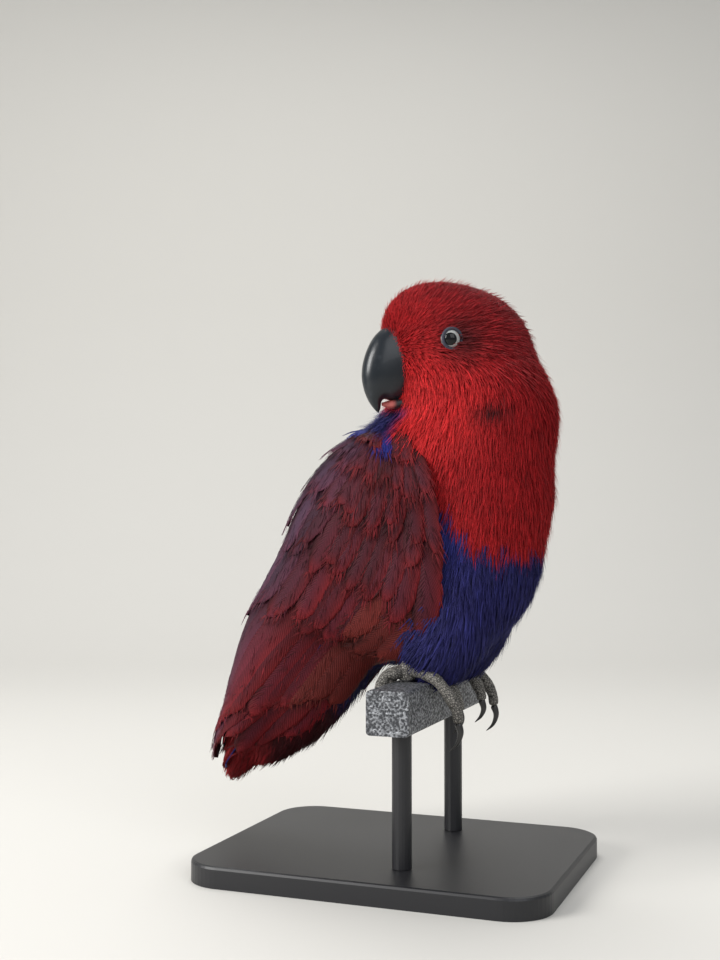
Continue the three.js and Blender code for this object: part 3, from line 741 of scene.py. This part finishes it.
TUFT_ZONES = [
    # name, lowest v, highest v, count, length, width, lift
    ("coat_crown", 0.89, 1.01, 12300, (5, 9), (0.35, 0.65), (0.0, 0.6)),
    ("coat_head", 0.80, 0.89, 12300, (7, 12), (0.35, 0.70), (0.0, 0.9)),
    ("coat_neck", 0.71, 0.80, 12300, (9, 15), (0.40, 0.75), (0.2, 1.4)),
    ("coat_throat", 0.62, 0.71, 12300, (11, 17), (0.45, 0.85), (0.2, 1.6)),
    ("coat_breast", 0.50, 0.62, 12300, (12, 20), (0.50, 1.00), (0.2, 1.8)),
    ("coat_belly", 0.38, 0.50, 12300, (15, 26), (0.70, 1.50), (0.0, 2.4)),
    ("coat_flank", 0.26, 0.38, 9000, (14, 24), (0.80, 1.80), (0.0, 2.2)),
    ("coat_vent", 0.0, 0.26, 6000, (8, 15), (1.0, 2.4), (0.0, 1.0)),
]
RUFFLES = [(vec(62, -8, 246), 3.2), (vec(-9, -20, 247), 4.0)]  # low on the nape, and the mantle
STRAYS = 0.09  # the share of tufts that stand off the coat


def face_share(points):
    """0 round the bill, rising to 1 over the back of the head and on the chin."""
    from_bill = np.linalg.norm(points - BILL_ROOT, axis=-1)
    chin = ease(points[..., 2] - HEAD_AT[2], -22, -30)
    return np.maximum(ease(from_bill, 6, 42), 0.8 * chin)


def wanted(points, v, angle):
    """Tufts wanted at a place: those that are seen, and more of them where they are short."""
    return seen(points, v, angle) * lerp(2.0, 1.0, face_share(points))


for zone, low, high, count, lengths, widths, lifts in TUFT_ZONES:
    count = count
    v, angle = scatter(150, 120, count, lambda p, v, a: wanted(p, v, a) * (v >= low) * (v < high))
    skin_at = on_skin(v, angle)
    size = lerp(0.42, 1.0, face_share(skin_at)) * lerp(0.5, 1.0, ease(v, 0.02, 0.12))
    length = random.uniform(*lengths, count) * size
    width = random.uniform(*widths, count) * lerp(0.7, 1.0, size) * 1.0
    stray = random.uniform(0.4, 2.8, count) * (random.random(count) < STRAYS)
    ruffled = sum(rise * near_place(skin_at, at, 9) for at, rise in RUFFLES) * random.random(count)
    over_wing = 2.6 * ease(v, 0.62, 0.68) * ease(v, 0.76, 0.71) * ease(skin_at[:, 0], 34, 10)
    lift = (random.uniform(*lifts, count) + stray) * size + ruffled + over_wing
    root, points = grow_tufts(v, angle, length, width, lift, random.normal(0, 0.11, count))
    make_piece(
        zone, points, COAT, tuft_uv(v, angle), tuft_colours(root, count), tuft_barbs(width, length),
    )

# %% [markdown]
# ## Vanes of the wings
# A flight feather is a flat vane on a stiff shaft, a little arched, with a rounded end. Each of a
# wing's seven rows is a run of such vanes from the front of the wing to its back, and each vane's
# front edge lies over the back edge of the vane before it. The rows lie over one another from
# the flight feathers out to the scapulars. They wrap round the body's forms by v and angle, as in
# the solids. Loose barbs on every vane fray it, so that the rows don't look like tiles.

# %% One vane on the wrapped body
VANE_ACROSS, VANE_ALONG = ((11, 22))
VANE_THICKNESS = 0.35
VANE_ARCH = 0.9
NOTCH = 1.2  # how deep the barbs part at a vane's edge
LEAST_REACH = 14  # the least distance from the spine by which side steps become angles


def vane_width(s, blunt):
    """Half width along a vane as a share: a narrow root, an even middle and a rounded end.

    It is the smooth rise over the first quarter times the root of 1 - t^p, where t is how far
    the last part has gone and p sets how blunt the end is.
    """
    t = np.clip((s - 0.45) / 0.55, 0, 1)
    return lerp(0.35, 1.0, ease(s, 0.0, 0.25)) * np.sqrt(np.clip(1 - t**blunt, 0, 1)) + 0.015


def on_wing(vane, s, side):
    """Place and way out at share s along a vane and side mm round the body from its shaft.

    v and angle go evenly from the vane's root to its tip, with a bow of sin(pi s) degrees times
    the vane's bow. The place lies on the forms there, lifted from the root's to the tip's lift.
    """
    v = lerp(vane["root"][0], vane["tip"][0], s)
    middle = np.radians(lerp(vane["root"][1], vane["tip"][1], s) + vane["bow"] * np.sin(math.pi * s))
    middle = middle * vane["mirror"]
    reach = np.linalg.norm(surface(v, middle, WRAP_FORMS) - body_rays(v, middle)[0], axis=-1)
    at = surface(v, middle + side / np.maximum(reach, LEAST_REACH), WRAP_FORMS)
    out = outward(at, WRAP_FORMS)
    return at + out * lerp(*vane["lift"], s)[..., None], out


def rise(vane, u):
    """Height across a vane at u (-1..1): one side raised by roll u, and an arch of 0.9 (1 - u^2)."""
    return u * vane["mirror"] * vane["roll"] + VANE_ARCH * np.clip(1 - u**2, 0, 1)


def wrapped_vane(vane):
    """Grid of a vane with its s along and u across (-1..1).

    Its half width is that of vane_width, notched by up to 1.2 mm where the barbs have parted. Its
    front edge is raised by rise, so that it lies over its neighbour's back edge.
    """
    s, u = crossed(np.linspace(0, 1, VANE_ALONG), np.linspace(-1, 1, VANE_ACROSS))
    at_edge = np.abs(u) > 0.95
    notch = random.uniform(0, NOTCH, (VANE_ALONG, VANE_ACROSS)) * at_edge * ease(s, 0.3, 0.5)
    wide = np.maximum(vane["half"] * vane_width(s, vane["blunt"]) - notch, 0.1)
    at, out = on_wing(vane, s, u * wide)
    return at + out * (rise(vane, u) - 0.5)[..., None], s, u


BARB_SLANT = math.radians(28)
BARB_GAP = 0.9
BARB_RUN = 7  # the longest loose barb


def loose_barbs(vane, count, length):
    """Thin blades over a vane, each towards the tip and outwards, up to 28 degrees off the shaft.

    A blade starts inside the vane's outline and runs up to 7 mm, so that those near an edge or
    the tip reach over the next feather and leave the outline frayed.
    """
    s0 = 1 - 0.7 * random.random((count, 1, 1)) ** 1.6
    side0 = np.sin(random.uniform(-1.4, 1.4, (count, 1, 1)))
    start = 0.94 * side0 * vane["half"] * vane_width(s0, vane["blunt"])
    whole = random.uniform(2.5, BARB_RUN, count)[:, None, None]
    run = whole * np.linspace(0, 1, STEPS + 1)[None, :, None]
    s = s0 + run * math.cos(BARB_SLANT) / length
    outwards = np.sign(side0) * random.uniform(0.3, 1.0, (count, 1, 1))
    side = start + run * math.sin(BARB_SLANT) * outwards
    cross = np.array([-1.0, 0.0, 1.0])[None, None, :]
    wide = random.uniform(0.30, 0.55, (count, 1, 1)) / 2 * tuft_shape()[None, :, None]
    at, out = on_wing(vane, s + 0 * cross, side + cross * wide)
    u = side / vane["half"]
    height = rise(vane, u) - 0.15 + 0.25 * run / BARB_RUN + 0.15 * (1 - np.abs(cross))
    return at + out * height[..., None], s + 0 * cross, np.clip(u, -1, 1) + 0 * cross


def vane_barbs(s, u, half, length):
    """Count of barbs from the shaft outwards, 0.9 mm apart and 28 degrees off the shaft."""
    slanted = np.abs(u) * half * math.cos(BARB_SLANT) - s * length * math.sin(BARB_SLANT)
    return slanted / BARB_GAP


print("vane grid", VANE_ACROSS, "by", VANE_ALONG)

# %% Rows of the folded wings
def row(count, root_v, root_angle, tip_v, tip_angle, half, lift_root, lift_tip, blunt=3.0, bow=0):
    """The sizes of one row; each pair is its value at the front of the wing and at the back."""
    return dict(
        count=count, root_v=root_v, root_angle=root_angle, tip_v=tip_v, tip_angle=tip_angle,
        half=half, lift_root=lift_root, lift_tip=lift_tip, blunt=blunt, bow=bow,
    )


WING_ROWS = {
    "primaries": row(
        7, (0.36, 0.36), (136, 104), (0.21, 0.115), (140, 22), (8, 6.5), 2.4, (1.4, 2.4), 2.4, 5,
    ),
    "secondaries": row(
        12, (0.43, 0.40), (142, 24), (0.30, 0.135), (151, 24), (8.6, 8.0), 2.8, (4.6, 3.4), 4.0,
    ),
    "greater": row(13, (0.50, 0.47), (130, 24), (0.385, 0.31), (149, 24), (8.2, 7.8), 3.4, (6.0, 4.6)),
    "median": row(13, (0.56, 0.53), (112, 22), (0.45, 0.40), (143, 22), (7.6, 7.2), 3.8, (6.6, 5.2)),
    "lesser": row(14, (0.61, 0.585), (96, 20), (0.515, 0.475), (129, 22), (6.8, 6.8), 3.4, (6.6, 5.6)),
    "marginal": row(13, (0.655, 0.635), (80, 20), (0.575, 0.545), (110, 22), (6.2, 6.6), 2.6, (6.0, 5.6)),
    "scapulars": row(9, (0.685, 0.665), (62, 14), (0.62, 0.605), (82, 18), (6.2, 7), 1.4, (5.0, 5.2)),
}
# the steel blue is a painted sheen, the pale sky's reflection on the back of the folded wing
STEEL_SHEEN, PLUM = vec(0.050, 0.042, 0.080), vec(0.052, 0.012, 0.024)
MANTLE_BLUE = vec(0.014, 0.022, 0.20)
LOW_RED, EDGE_RED = vec(0.16, 0.010, 0.014), vec(0.25, 0.014, 0.017)
REDNESS = {"primaries": 1.0, "secondaries": 1.0, "greater": 0.4}
WORN_ROWS = ("greater", "secondaries")
BARBS_EACH = 46


def vane_colours(s, front_edge, name, k, tone):
    """Maroon with a plum middle, a bright front edge and tip, and painted shade on the covered edge.

    k goes from the wing's front (0) to its back (1). The lower rows are redder, the back of the
    wing takes a painted steel-blue sheen, a few scapulars are blue, and the foremost feathers of
    two rows are worn to orange brown.
    """
    red = lerp(MAROON, LOW_RED, REDNESS.get(name, 0.0))
    base = np.broadcast_to(red * tone, s.shape + (3,)).copy()
    middle = ease(np.abs(front_edge), 0.8, 0.0) * ease(s, 0.0, 0.6) * ease(s, 1.0, 0.85)
    base = paint_over(base, PLUM * tone, middle * 0.6)
    bright = ease(front_edge, 0.55, 1.0) * 0.5 + ease(s, 0.82, 1.0) * 0.35
    base = paint_over(base, EDGE_RED * tone, bright)
    base = paint_over(base, EMBER * tone, np.full_like(s, 0.75 * (name in WORN_ROWS) * (k < 0.2)))
    # painted sheen: the back of the wing goes towards steel blue, as the sky's reflection there
    steel = ease(k + 0.1 * front_edge, 0.66, 0.98) * (name != "scapulars")
    base = paint_over(base, STEEL_SHEEN * tone, steel * 0.6)
    patch = name == "scapulars" and (0.35 < k < 0.6 or k > 0.95)
    base = paint_over(base, MANTLE_BLUE * tone, np.full_like(s, 0.95 * patch))
    # painted shade on the edge that the next vane covers; the line below also makes each vane darker
    # towards its root
    covered = ease(front_edge, 0.1, -0.85) * 0.8
    return paint_over(base, SHADOW, covered) * lerp(0.35, 1.0, ease(s, 0.1, 0.6))[..., None]


def wing_row(name, sizes, mirror):
    """One row, front to back: grids, colours and barbs of its vanes, then of its loose blades."""
    vanes, blades, places = [], [], []
    for k in np.linspace(0, 1, sizes["count"]):
        vane = {
            "root": (lerp(*sizes["root_v"], k), lerp(*sizes["root_angle"], k)),
            "tip": (
                lerp(*sizes["tip_v"], k) + random.normal(0, 0.010),
                lerp(*sizes["tip_angle"], k) + random.normal(0, 2.6),
            ),
            "half": lerp(*sizes["half"], k) * random.normal(1.0, 0.10),
            "lift": (sizes["lift_root"], lerp(*sizes["lift_tip"], k)),
            "roll": 0.75 + random.normal(0, 0.18),
            "mirror": mirror,
            "blunt": sizes["blunt"],
            "bow": sizes["bow"] * (1 - k),
        }
        tone = random.normal(1.0, 0.18)
        grid, s, u = wrapped_vane(vane)
        length = np.linalg.norm(grid[-1, VANE_ACROSS // 2] - grid[0, VANE_ACROSS // 2])
        shade = vane_colours(s, u * mirror, name, k, tone)
        vanes.append((grid, shade, vane_barbs(s, u, vane["half"], length)))
        strip, s, u = loose_barbs(vane, BARBS_EACH, length)
        shade = vane_colours(s, u * mirror, name, k, tone)
        shade = shade * random.uniform(0.7, 1.4, (BARBS_EACH, 1, 1, 1))
        blades.append((strip, shade, np.zeros_like(s)))
        places.append(vane["root"])
    vanes = [np.stack(part) for part in zip(*vanes)]
    return vanes, [np.concatenate(part) for part in zip(*blades)], np.array(places)


def vane_uv(places, mirror, shift):
    """A patch for each vane at its root's place on the unwrapped skin, rows kept apart."""
    centre = np.stack([places[:, 1] / 360 * mirror % 1, places[:, 0] + shift], axis=-1)
    cross, down = np.meshgrid(np.linspace(-0.5, 0.5, VANE_ACROSS), np.linspace(0, 1, VANE_ALONG))
    return centre[:, None, None, :] + (np.stack([cross, down], axis=-1) * PATCH)[None]


def blade_uv(places, mirror, shift):
    """A patch for each blade beside that of its vane."""
    spots = np.repeat(places, BARBS_EACH, axis=0)
    spots = spots + random.uniform(-0.02, 0.02, spots.shape)
    return tuft_uv(spots[:, 0] + shift, np.radians(spots[:, 1] * mirror))


ROW_SHIFT = 0.004  # how far apart the rows' patches lie on the map
for word, mirror in (("right", 1), ("left", -1)):
    rows = [wing_row(name, sizes, mirror) for name, sizes in WING_ROWS.items()]
    grids, colours, barbs = (np.concatenate([vanes[i] for vanes, _, _ in rows]) for i in range(3))
    shifts = [(places, mirror, ROW_SHIFT * i) for i, (_, _, places) in enumerate(rows)]
    uv = np.concatenate([vane_uv(*shift) for shift in shifts])
    wing = make_piece(
        f"wing_{word}_feathers", grids, VANES, uv, colours, barbs,
        replaces=(f"wing_{word}",),
    )
    thicken(wing, VANE_THICKNESS)
    strips, colours, barbs = (np.concatenate([blades[i] for _, blades, _ in rows]) for i in range(3))
    uv = np.concatenate([blade_uv(*shift) for shift in shifts])
    make_piece(f"wing_{word}_barbs", strips, COAT, uv, colours, barbs)

# %% [markdown]
# ## The tail
# Twelve stiff feathers lie in a shallow fan, the middle pair on top. Their ends are nearly square
# and worn, so the end of each vane is blunt and deeply notched.

# %% Tail feathers
TAIL_ROOT = vec(-88, 0, 98)
TAIL_ALONG = unit(vec(-0.56, 0, -0.83))
TAIL_UNDER = unit(np.cross(TAIL_ALONG, vec(0, 1, 0)))
TAIL_LENGTH, TAIL_HALF, TAIL_FAN, TAIL_PAIRS = 60, 8.2, 11, 6
TAIL_FRAY, TAIL_LAYER = 2.6, 1.3  # how deep the ends are worn, and how far apart the pairs lie


def tail_vane(pair, side):
    """A flat vane from the tail's root, splayed by its place in the fan and arched across."""
    s, u = crossed(np.linspace(0, 1, VANE_ALONG), np.linspace(-1, 1, VANE_ACROSS))
    k = (pair + 0.5) / TAIL_PAIRS
    splay = math.radians(TAIL_FAN * k) * side
    along = TAIL_ALONG * math.cos(splay) + vec(0, math.sin(splay), 0)
    across = unit(vec(0, 1, 0) - along * along[1])
    root = TAIL_ROOT + vec(0, 7 * k * side, 0) + TAIL_UNDER * TAIL_LAYER * pair
    fray = random.uniform(0, TAIL_FRAY, (1, VANE_ACROSS)) * ease(s, 0.75, 1.0)
    reach = (TAIL_LENGTH - 4 * k * k) * s - fray
    wide = TAIL_HALF * vane_width(s, 9.0)
    droop = 0.5 * u * side + 0.7 * u * u
    spread = across * (u * wide)[..., None] + TAIL_UNDER * droop[..., None]
    return root + along * reach[..., None] + spread, s, u


def tail_feathers():
    """The twelve vanes with their colours and barbs: dark roots, red outer halves, worn tips."""
    grids, colours, barbs = [], [], []
    for pair in range(TAIL_PAIRS):
        for side in (-1, 1):
            grid, s, u = tail_vane(pair, side)
            base = np.broadcast_to(TAIL_RED * random.normal(0.9, 0.12), grid.shape).copy()
            base = paint_over(base, MAROON * 0.5, ease(s, 0.7, 0.2))
            base = paint_over(base, EMBER, ease(s, 0.9, 1.0) * 0.5)
            base = paint_over(base, PALE_BLUE * 0.6, ease(u * side, 0.35, 0.6) * (pair == TAIL_PAIRS - 1))
            grids.append(grid)
            colours.append(base)
            barbs.append(vane_barbs(s, u, TAIL_HALF, TAIL_LENGTH))
    return np.stack(grids), np.stack(colours), np.stack(barbs)


tail_grids, tail_colours, tail_barbs = tail_feathers()
tail_places = np.array([(0.10, 300.0 + 5 * i) for i in range(len(tail_grids))])
tail_piece = make_piece(
    "tail_feathers", tail_grids, VANES, vane_uv(tail_places, 1, 0.0), tail_colours, tail_barbs,
    replaces=("tail",),
)
thicken(tail_piece, VANE_THICKNESS)

# %% [markdown]
# ## Bill
# The upper mandible is a deep hooked horn and the lower one a short scoop behind it. Each is a run
# of rings across the head, from a ridge line above to a cutting edge below, so the outline is
# drawn by two short profiles and the line of the mouth stays open between the two pieces.

# %% Upper and lower mandible
# Each pair is a place forward of the middle of the head and above it.
BILL_RIDGE = np.array([
    (24, 13), (29, 10), (35.5, 3.5), (40, -6), (41.6, -15), (40.6, -23), (38, -29.5), (35, -33.6),
    (33, -35.4),
])
BILL_EDGE = np.array([
    (8, -21), (12, -24), (17, -27), (22, -28.5), (26, -28.5), (29.5, -28), (31.5, -29.5), (32, -33),
    (33, -35.4),
])
BILL_HALF = np.array([9, 9.8, 9.6, 8.6, 7, 5.2, 3.2, 1.5, 0.05])
SCOOP_TOP = np.array([(10, -23), (16, -25), (21, -27), (26, -28.4), (31.2, -30)])
SCOOP_KEEL = np.array([(8, -31), (14, -32), (20, -32.6), (26, -33), (31.2, -31.6)])
SCOOP_HALF = np.array([7.6, 7.2, 6, 4, 0.05])


def smooth_rows(values, rows):
    """Rows of a smooth curve through a table's few values."""
    table = values if values.ndim > 1 else values[:, None]
    return along_curve(table.astype(float), np.linspace(0, 1, rows))[0]


def mandible(top, bottom, half, rows=48, around=40):
    """Rings across the head.

    On a ring at angle a, the place runs from the top line to the bottom line by (1 - cos a) / 2,
    and to the side by the half width times sin a to the power 0.8.
    """
    top, bottom, half = (smooth_rows(p, rows)[:, None] for p in (top, bottom, half))
    a = round_angles(around)[None, :, None]
    line = lerp(top, bottom, (1 - np.cos(a)) / 2)
    side = half * np.sign(np.sin(a)) * np.abs(np.sin(a)) ** 0.8
    return HEAD_AT + line[..., :1] * FACE + side * FACE_LEFT + line[..., 1:] * UP


make_piece(
    "upper_mandible", mandible(BILL_RIDGE, BILL_EDGE, BILL_HALF), HORN,
    closed=True, replaces=("bill_upper",),
)
make_piece(
    "lower_mandible", mandible(SCOOP_TOP, SCOOP_KEEL, SCOOP_HALF), MOUTH,
    closed=True, replaces=("bill_lower",),
)

# %% [markdown]
# ## Eyes and lids
# Each eyeball sits in the plumage with a ring of bare grey skin round it. The ring is a
# thin torus with small radial folds. The pupil and the pale iris are painted by angle.

# %% Eyes
EYE_RADIUS, EYE_DEPTH, EYE_OUT, LID_RADIUS = 5.3, 3.4, 0.7, 5.2
FOLDS = 22


def eye_place(side):
    """The middle of an eyeball, its depth under the surface of the forms, and where it looks."""
    steps = np.arange(0, 40, 0.25)
    line = np.array([head_point(EYE_FORWARD, s * side, EYE_UP) for s in steps])
    out = steps[np.argmax(distance_to(line, BODY_FORMS) >= 0)]
    return head_point(EYE_FORWARD, (out - EYE_DEPTH) * side, EYE_UP), FACE_LEFT * side


def spokes(look, a):
    """Unit directions square to the line of sight, at angles a round it."""
    return np.cross(UP, look) * np.cos(a)[..., None] + UP * np.sin(a)[..., None]


def ball(centre, radius, look, rows=28, around=48):
    """A sphere whose poles lie on the line of sight."""
    polar, a = crossed(np.linspace(0.01, math.pi - 0.01, rows), round_angles(around))
    ring = spokes(look, a)
    return centre + radius * (look * np.cos(polar)[..., None] + ring * np.sin(polar)[..., None])


def lid_ring(centre, look, rows=64, around=14):
    """A torus round the line of sight whose tube swells and shrinks in 22 small folds."""
    a, b = crossed(np.linspace(0, 2 * math.pi, rows + 1), round_angles(around))
    thick = 0.85 + 0.10 * np.sin(FOLDS * a)
    ring = spokes(look, a) * (LID_RADIUS + thick * np.cos(b))[..., None]
    return centre + look * (EYE_DEPTH + 0.1) + ring + look * (thick * 0.8 * np.sin(b))[..., None]


LID_GREY = (0.042, 0.044, 0.062)
LID = material("lid_skin", plain_paint, Base_Color=LID_GREY, Roughness=0.65, Specular_IOR_Level=0.3)
for word, side in (("right", -1), ("left", 1)):
    socket, look = eye_place(side)
    centre = socket + EYE_OUT * look
    gaze = unit(look + 0.40 * FACE - 0.10 * UP)
    iris = material(f"eye_{word}_iris", eye_paint(centre, gaze), Roughness=0.05, Specular_IOR_Level=0.3)
    make_piece(
        f"eyeball_{word}", ball(centre, EYE_RADIUS, look), iris,
        closed=True, replaces=(f"eye_{word}",),
    )
    make_piece(f"lid_{word}", lid_ring(socket, look), LID, closed=True)

# %% [markdown]
# ## Feet and claws
# Two toes reach forward over the edge of the perch and two back. A toe is a tube along a bent line,
# with a swelling at each joint and small plates ringed round it. Claws are plain curved horns.

# %% Feet and claws
BAR_TOP, FOOT_Y, TOE_RADIUS = 102, 27, 3
BACK_X = -14.9  # the middle line of a back toe where it hangs down behind the perch
# Each toe: how far sideways it reaches, the bends of its middle line and those of its claw. A bend
# is a place forward, a share of the sideways reach and a height over the top of the perch.
TOES = {
    "outer_front": (
        7, [
            (-3, 0, 5.4), (6, 0.35, 5.2), (14, 0.75, 2.6),
            (21, 0.95, -4.5), (25.5, 1, -12), (26.6, 1, -19),
        ],
        [(26.2, 1, -18), (27.8, 1.02, -23.5), (26, 1.04, -29), (22, 1.05, -33)],
    ),
    "inner_front": (
        -6, [(-3, 0, 5.4), (6, 0.4, 5), (14, 0.8, 2.4), (19.5, 1, -4), (22.6, 1, -10), (23.2, 1, -14.5)],
        [(22.8, 1, -13.5), (24.4, 1.02, -18.5), (22.8, 1.04, -23), (19.4, 1.05, -26.5)],
    ),
    "outer_back": (
        8, [(-3, 0, 5.4), (-7, 0.5, 4.8), (-12, 0.9, 3.2), (BACK_X, 1, -4), (BACK_X, 1, -9)],
        [
            (BACK_X + 0.3, 1, -8), (BACK_X - 1.4, 1.02, -13),
            (BACK_X - 0.8, 1.04, -17), (BACK_X + 1.4, 1.05, -20),
        ],
    ),
    "inner_back": (
        -6, [(-3, 0, 5.4), (-7, 0.5, 4.8), (-12, 0.9, 3.2), (BACK_X, 1, -3), (BACK_X, 1, -6)],
        [
            (BACK_X + 0.3, 1, -5), (BACK_X - 1.2, 1.02, -9),
            (BACK_X - 0.7, 1.04, -13), (BACK_X + 1.2, 1.05, -15.5),
        ],
    ),
}
SHANK = [(4, -3, 27), (3, -2.7, 24), (1, -2, 18), (-1.4, -0.8, 10.5), (-3, 0, 5.6), (-3, 0, 1.4)]
TUBE_ROWS, TUBE_AROUND = 60, 20
CLAW_ROWS, CLAW_AROUND = 26, 14


def foot_points(side, bends, reach=1.0):
    """Places of the bends in the solids' frame, on the foot of one side."""
    forward, share, height = np.array(bends, float).T
    return np.stack([forward, side * (FOOT_Y + share * reach), BAR_TOP + height], axis=-1)


def tube(points, radius, rows, around):
    """Rings square to a smooth curve through the points, of radius(t) at t along it."""
    t = np.linspace(0, 1, rows)
    middle, ahead = along_curve(points, t)
    across = unit(vec(0, 1, 0) - ahead * dot(ahead, vec(0, 1, 0)))
    other = np.cross(ahead, across)
    a = round_angles(around)[None, :, None]
    size = radius(t)[:, None, None]
    return middle[:, None] + size * (across[:, None] * np.cos(a) + other[:, None] * np.sin(a))


def toe_radius(t):
    """Thick at the foot and thinner to the claw, with joint pads and fine ring scales."""
    taper = TOE_RADIUS * (1.08 - 0.2 * t + 0.07 * np.cos(6 * math.pi * t))
    ends = np.sqrt(np.clip(1 - ((t - 0.5) / 0.5) ** 14, 0, 1)) + 0.02
    return taper * ends * (1 + 0.035 * np.abs(np.sin(13 * math.pi * t)))


def claw_radius(t):
    """2 mm at the toe and tapering to a fine point."""
    return 2.0 * (1 - t) ** 0.75 * np.clip(t / 0.06, 0.05, 1) + 0.05


def shank_radius(t):
    """The scaly shank, wider where the toes meet."""
    return (3.7 + 0.9 * ease(t, 0.5, 0.9)) * (1 + 0.03 * np.abs(np.sin(9 * math.pi * t)))


for word, side in (("right", -1), ("left", 1)):
    tubes = [
        tube(foot_points(side, bends, reach), toe_radius, TUBE_ROWS, TUBE_AROUND)
        for reach, bends, _ in TOES.values()
    ]
    tubes.append(tube(foot_points(side, SHANK), shank_radius, TUBE_ROWS, TUBE_AROUND))
    make_piece(
        f"foot_{word}_skin", np.stack(tubes), SCALY,
        closed=True, replaces=(f"foot_{word}",),
    )
    for toe, (reach, _, claw) in TOES.items():
        points = tube(foot_points(side, claw, reach), claw_radius, CLAW_ROWS, CLAW_AROUND)
        make_piece(
            f"claw_{word}_{toe}_horn", points, CLAW,
            closed=True, replaces=(f"claw_{word}_{toe}",),
        )

# %% [markdown]
# ## Perch and stand
# The tube and the stand are plain shapes with true edges already, so their solids stay as they are
# and only take their finishes.

# %% Finishes of the solids that stay
KEPT_SOLIDS = {
    "perch_bar": HAMMERED, "stand_base": PLAIN, "stand_rod_right": PLAIN, "stand_rod_left": PLAIN,
}
for node, finish in KEPT_SOLIDS.items():
    for solid_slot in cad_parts[node].material_slots:
        solid_slot.material = finish
print("finishes set on", len(KEPT_SOLIDS), "solids")

# %% [markdown]
# ## Floor, light and camera
# A pale floor bends up behind. Three large soft lamps and a pale sky light the bird, the strongest
# lamp from the photo's left. The camera stands where the photo was taken from: about 0.7 m from
# the bird, off its right side and a little to its front, as high as its back, and tipped up by
# under 2 degrees.

# %% Floor and backdrop
CAMERA_AT = (0.215484, -0.663901, 0.185341)
CAMERA_TURN, CAMERA_TIP = 21, 1.7624  # degrees to its left from looking along +Y, and upwards
LENS, SENSOR_WIDTH = 48.75, 36
FLOOR_FRONT, FLOOR_BACK, WALL_HEIGHT, HALF_WIDTH = -2600, 900, 2600, 3200
BEND_FROM, BEND_SHARE = 0.45, 0.2  # where along the sheet it bends, and over what share of it
WALL_FROM = 0.65


def backdrop(rows=40, columns=3, radius=600):
    """A level floor that turns up behind in a quarter circle and then stands as a wall."""
    t = np.linspace(0, 1, rows)
    turn_up = np.clip((t - BEND_FROM) / BEND_SHARE, 0, 1) * math.pi / 2
    level = lerp(FLOOR_FRONT, FLOOR_BACK, t / BEND_FROM)
    forward = np.where(t < BEND_FROM, level, FLOOR_BACK + radius * np.sin(turn_up))
    wall = np.clip((t - WALL_FROM) / (1 - WALL_FROM), 0, 1) * WALL_HEIGHT
    height = radius * (1 - np.cos(turn_up)) + wall
    side = np.linspace(-HALF_WIDTH, HALF_WIDTH, columns)
    turn = math.radians(CAMERA_TURN)
    view = vec(-math.sin(turn), math.cos(turn), 0)
    right = vec(view[1], -view[0], 0)
    return forward[:, None, None] * view + side[None, :, None] * right + height[:, None, None] * UP


FLOOR = material("pale_floor", lambda tree: {}, Base_Color=(0.60, 0.585, 0.55), Roughness=0.85)
floor_mesh = bpy.data.meshes.new("floor")
floor_grid = backdrop()
floor_faces = grid_faces(1, *floor_grid.shape[:2])
floor_mesh.from_pydata((floor_grid.reshape(-1, 3) * MM).tolist(), [], floor_faces.tolist())
floor_mesh.materials.append(FLOOR)
for polygon in floor_mesh.polygons:
    polygon.use_smooth = True
floor = bpy.data.objects.new("floor", floor_mesh)
bpy.context.scene.collection.objects.link(floor)
print("floor of", len(floor_faces), "faces")

# %% Lamps and camera
def lamp(name, at, aim, size, power, colour):
    """A square area lamp at a place in metres, turned to face its aim."""
    data = bpy.data.lights.new(name, "AREA")
    data.size, data.energy, data.color = size, power, colour
    made = bpy.data.objects.new(name, data)
    made.location = at
    direction = unit(vec(*at) - vec(*aim))
    made.rotation_euler = (math.acos(direction[2]), 0, math.atan2(direction[0], -direction[1]))
    bpy.context.scene.collection.objects.link(made)


BIRD = (-0.01, 0, 0.2)
lamp("key", (-1.05, -1.05, 0.85), BIRD, 0.8, 30, (1.0, 0.99, 0.97))
lamp("fill", (0.95, -1.0, 1.1), BIRD, 1.2, 9, (0.95, 0.97, 1.0))
lamp("top", (-0.2, 0.5, 1.5), BIRD, 0.9, 14, (1.0, 1.0, 1.0))
world = bpy.data.worlds.new("studio")
world.use_nodes = True
sky = world.node_tree.nodes["Background"].inputs
sky["Color"].default_value, sky["Strength"].default_value = (0.85, 0.88, 0.92, 1), 0.45
bpy.context.scene.world = world

camera_data = bpy.data.cameras.new("camera")
camera_data.lens, camera_data.sensor_width = LENS, SENSOR_WIDTH
camera = bpy.data.objects.new("camera", camera_data)
camera.location = CAMERA_AT
camera.rotation_euler = (math.radians(90 + CAMERA_TIP), 0, math.radians(CAMERA_TURN))
bpy.context.scene.collection.objects.link(camera)
bpy.context.scene.camera = camera
bpy.context.scene.view_settings.view_transform = "Standard"
print("camera at", CAMERA_AT)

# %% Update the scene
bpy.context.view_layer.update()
